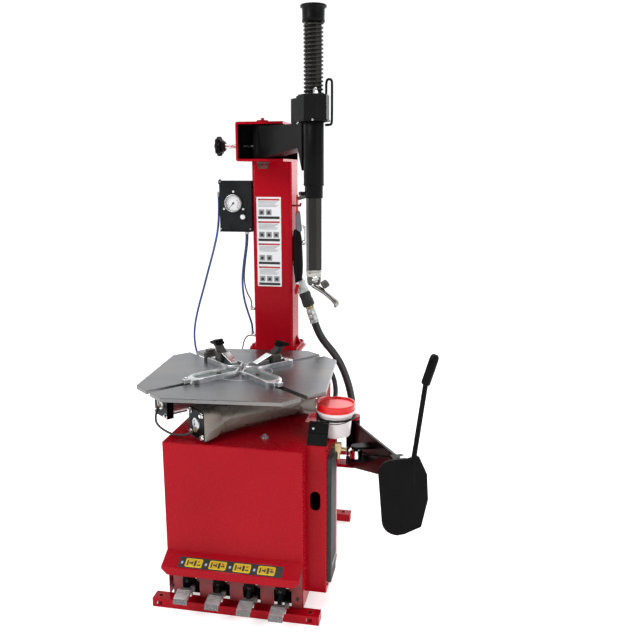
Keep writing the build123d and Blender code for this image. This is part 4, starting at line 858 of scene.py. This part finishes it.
def dial_marks(name, look, radius, length, width, angles):
    """Short strokes round the dial."""
    points, faces = [], []
    for angle in angles:
        out = Vector((cos(radians(angle)), 0, sin(radians(angle))))
        across = Vector((-out.z, 0, out.x)) * width / 2
        centre = Vector((GAUGE_X, DIAL_Y - 0.0003, GAUGE_Z))
        base = len(points)
        points += [centre + out * radius - across, centre + out * radius + across,
                   centre + out * (radius - length) + across, centre + out * (radius - length) - across]
        faces.append((base, base + 1, base + 2, base + 3))
    add_mesh(name, points, faces, look, smooth=False)


dial_marks("gauge_ticks", INK_BLACK, 0.0245, 0.0042, 0.0009, range(-45, 226, 27))
dial_marks("gauge_fine_ticks", INK_BLACK, 0.0245, 0.0022, 0.0004, [a * 0.1 for a in range(-450, 2251, 54)])
dial_marks("gauge_band", INK_RED, 0.0196, 0.0010, 0.0014, [a * 0.1 for a in range(-450, 400, 36)])
dial_marks("gauge_inner_band", INK_GREY, 0.0172, 0.0008, 0.0013, [a * 0.1 for a in range(-450, 2251, 40)])
lathe("gauge_boss", (GAUGE_X, PANEL_Y - 0.0050, GAUGE_Z), FRONT,
      [(0, 0.0036), (0.0012, 0.0034), (0.0018, 0.002)], INK_BLACK, "needle_body", sides=24)
for number, angle in enumerate((90, 210, 330)):
    x, z = GAUGE_X + 0.040 * cos(radians(angle)), GAUGE_Z + 0.040 * sin(radians(angle))
    cap_screw(f"gauge_screw_{number}", (x, PANEL_Y, z), FRONT, 0.0040, PAPER)
lathe("button_collar", (-0.134, PANEL_Y, 1.121), FRONT,
      [(0, 0.0091), (0.0030, 0.0091), (0.0030, 0.0098), (0.0015, 0.0106), (0, 0.0106)], BOX_BLACK,
      caps=False)
button = lathe("button_cap", (-0.134, PANEL_Y - 0.0044, 1.121), FRONT,
               [(0, 0.0080), (0.0055, 0.0086), (0.0072, 0.0080), (0.0080, 0.0050), (0.0082, 0.0005)], PAPER,
               "button_body")
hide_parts("gauge_button")
SCREW_LEFT, SCREW_LOW = box_low.x + 0.004, box_low.z + 0.010
for number, (x, z) in enumerate([(SCREW_LEFT, box_high.z - 0.004), (SCREW_LEFT, SCREW_LOW),
                                 (box_high.x - 0.006, SCREW_LOW)]):
    cap_screw(f"box_screw_{number}", (x, PANEL_Y, z), FRONT, 0.0026, ZINC)
TAB = ((-0.002, -0.014), (0.010, 0.004), (0.002, 0.005), (-0.003, -0.002))
slab("box_tab", in_plane(PANEL_Y + 0.001, *[(box_low.x + x, box_high.z + z) for x, z in TAB]), 0.0015,
     BOX_BLACK, bevel=0.0004)

# ---------------------------------------------------------------- inflation gun
GUN_Y = 0.338


def turned_run(name, start, end, radii, look, body="frame", sides=36, **more):
    """A turned piece between two points; radii are (share of the length, radius)."""
    start, end = Vector(start), Vector(end)
    length = (end - start).length
    profile = [(share * length, r) for share, r in radii]
    return lathe(name, start, end - start, profile, look, body, sides, **more)


gun = turned_run("gun_tube", (0.053, GUN_Y, 1.078), (0.058, GUN_Y, 0.898),
                 [(0, 0.0095), (0.04, 0.0130), (0.2, 0.0165), (0.45, 0.0175), (0.7, 0.0175), (0.85, 0.0160),
                  (0.93, 0.0135), (1, 0.0130)], SATIN)
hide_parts("air_gun")
slab("gun_plate", [(0.053, GUN_Y - 0.009, 1.132), (0.053, GUN_Y + 0.009, 1.132),
                   (0.053, GUN_Y + 0.011, 1.190), (0.053, GUN_Y + 0.004, 1.198),
                   (0.053, GUN_Y - 0.004, 1.198), (0.053, GUN_Y - 0.011, 1.190)], 0.004, RED)
HOOK = in_plane(GUN_Y, (0.034, 1.1605), (0.050, 1.1605), (0.064, 1.1605), (0.067, 1.163), (0.0672, 1.170))
wire("gun_hook", HOOK, 0.0033, DARK_STEEL_AND_SHADE)
turned_run("gun_handle", (0.0565, GUN_Y, 1.142), (0.0600, GUN_Y, 1.070),
           [(0, 0.0060), (0.05, 0.0085), (0.5, 0.0100), (0.9, 0.0110), (1, 0.0090)], IRON)
turned_run("gun_inlet", (0.058, GUN_Y, 1.184), (0.082, GUN_Y, 1.194),
           [(0, 0.0055), (0.3, 0.0070), (0.6, 0.0070), (0.62, 0.0090), (1, 0.0080)], BROWN_STEEL)
turned_run("gun_knob", (0.072, GUN_Y - 0.002, 1.030), (0.086, GUN_Y - 0.002, 1.034),
           [(0, 0.0060), (0.3, 0.0090), (0.8, 0.0095), (1, 0.0070)], ZINC)
turned_run("gun_neck", (0.058, GUN_Y, 0.902), (0.0615, GUN_Y, 0.888),
           [(0, 0.0135), (0.4, 0.0150), (1, 0.0150)], SATIN)
turned_run("valve_body", (0.0605, GUN_Y, 0.896), (0.0775, GUN_Y, 0.852),
           [(0, 0.0150), (0.06, 0.0190), (0.30, 0.0200), (0.34, 0.0180), (0.62, 0.0180), (0.66, 0.0205),
            (0.94, 0.0205), (1, 0.0165)], ALLOY, sides=8)
turned_run("valve_stem", (0.064, GUN_Y - 0.016, 0.876), (0.063, GUN_Y - 0.026, 0.879),
           [(0, 0.0070), (0.5, 0.0070), (0.55, 0.0045), (1, 0.0040)], BRASS)
FLAG = in_plane(GUN_Y - 0.026, (0.056, 0.888), (0.047, 0.866), (0.050, 0.850), (0.056, 0.850), (0.066, 0.884))
slab("valve_flag", FLAG, 0.0016, RED)
turned_run("coupling", (0.0775, GUN_Y, 0.854), (0.0965, GUN_Y, 0.805),
           [(0, 0.0175), (0.04, 0.0205), (0.2, 0.0215), (0.28, 0.0200), (0.5, 0.0200), (0.58, 0.0215),
            (0.95, 0.0215), (1, 0.0180)], RUBBER, sides=48, lobes=12, lobe=0.025)
turned_run("brass_ring", (0.0965, GUN_Y, 0.806), (0.1015, GUN_Y, 0.791),
           [(0, 0.0125), (0.1, 0.0150), (0.5, 0.0155), (0.6, 0.0135), (1, 0.0135)], BRASS)
turned_run("ferrule", (0.1005, GUN_Y, 0.794), (0.1168, GUN_Y, 0.7456),
           [(0, 0.0150), (0.05, 0.0165), (0.30, 0.0168), (0.33, 0.0158), (0.42, 0.0158), (0.45, 0.0168),
            (0.70, 0.0168), (0.73, 0.0158), (0.80, 0.0158), (0.84, 0.0170), (1, 0.0172)], ALLOY)

# ---------------------------------------------------------------- bucket
PAIL = Vector((0.277, -0.157, 0))
pail = lathe("pail", PAIL + Z_AXIS * 0.5202, Z_AXIS,
             [(0, 0.036), (0.0012, 0.0405), (0.003, 0.0415), (0.058, 0.0470), (0.060, 0.0490),
              (0.062, 0.0490), (0.064, 0.0478), (0.071, 0.0484), (0.073, 0.0515), (0.075, 0.0515),
              (0.077, 0.0520), (0.084, 0.0526)], WHITE, sides=72)
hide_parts("bucket")
lid = lathe("pail_lid", PAIL + Z_AXIS * 0.5985, Z_AXIS,
            [(0, 0.0545), (0.0005, 0.0560), (0.004, 0.0566), (0.0055, 0.0555), (0.0060, 0.0548),
             (0.0130, 0.0552), (0.0190, 0.0560), (0.0212, 0.0552), (0.0215, 0.0525), (0.0200, 0.0505),
             (0.0165, 0.0495), (0.0160, 0.030), (0.0162, 0.001)], LID, sides=72)
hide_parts("bucket_lid")
lathe("pail_rim", PAIL + Z_AXIS * 0.5890, Z_AXIS,
      [(0, 0.0530), (0.0015, 0.0552), (0.0080, 0.0562), (0.0100, 0.0556), (0.0110, 0.0530)], WHITE,
      sides=72)
BAIL_TURN = [radians(a) for a in range(200, 350, 15)]
bail = [(PAIL.x + 0.0590 * cos(a), PAIL.y + 0.0590 * sin(a),
         0.5890 - 0.017 * abs(sin(a - pi))) for a in BAIL_TURN]
bail = [(PAIL.x - 0.0565, PAIL.y, 0.5905)] + bail + [(PAIL.x + 0.0565, PAIL.y, 0.5905)]
wire("pail_bail", bail, 0.0013, DARK_STEEL_AND_SHADE)
for number, side in enumerate((-1, 1)):
    lathe(f"pail_ear_{number}", (PAIL.x + side * 0.0530, PAIL.y, 0.5905), X_AXIS * side,
          [(0, 0.0055), (0.003, 0.0055), (0.0042, 0.0035)], WHITE, sides=24)

# ---------------------------------------------------------------- bead breaker
hex_bolt("hinge_nut_top", (0.265, 0.298, 0.4245), Z_AXIS, 0.0110, 0.009, ZINC)
hex_bolt("blade_nut", (0.480, -0.252, 0.4955), Z_AXIS, 0.0085, 0.008, ZINC, "breaker_arm_body")
GRIP_LOW, GRIP_HIGH = Vector((0.5368, -0.280, 0.7275)), Vector((0.556, -0.280, 0.794))
grip_axis = (GRIP_HIGH - GRIP_LOW).normalized()
lathe("breaker_grip", GRIP_LOW - grip_axis * 0.002, grip_axis,
      [(0, 0.0085), (0.002, 0.0112), (0.010, 0.0120), (0.020, 0.0112), (0.038, 0.0112), (0.055, 0.0118),
       (0.074, 0.0124), (0.082, 0.0112), (0.0865, 0.0075), (0.0880, 0.0020)], PLASTIC, "breaker_blade_body",
      sides=40)
turned_run("rod_collar", (0.240, 0.047, 0.379), (0.256, 0.047, 0.379),
           [(0, 0.0125), (0.1, 0.0150), (0.9, 0.0150), (1, 0.0125)], SATIN, "breaker_rod_body")
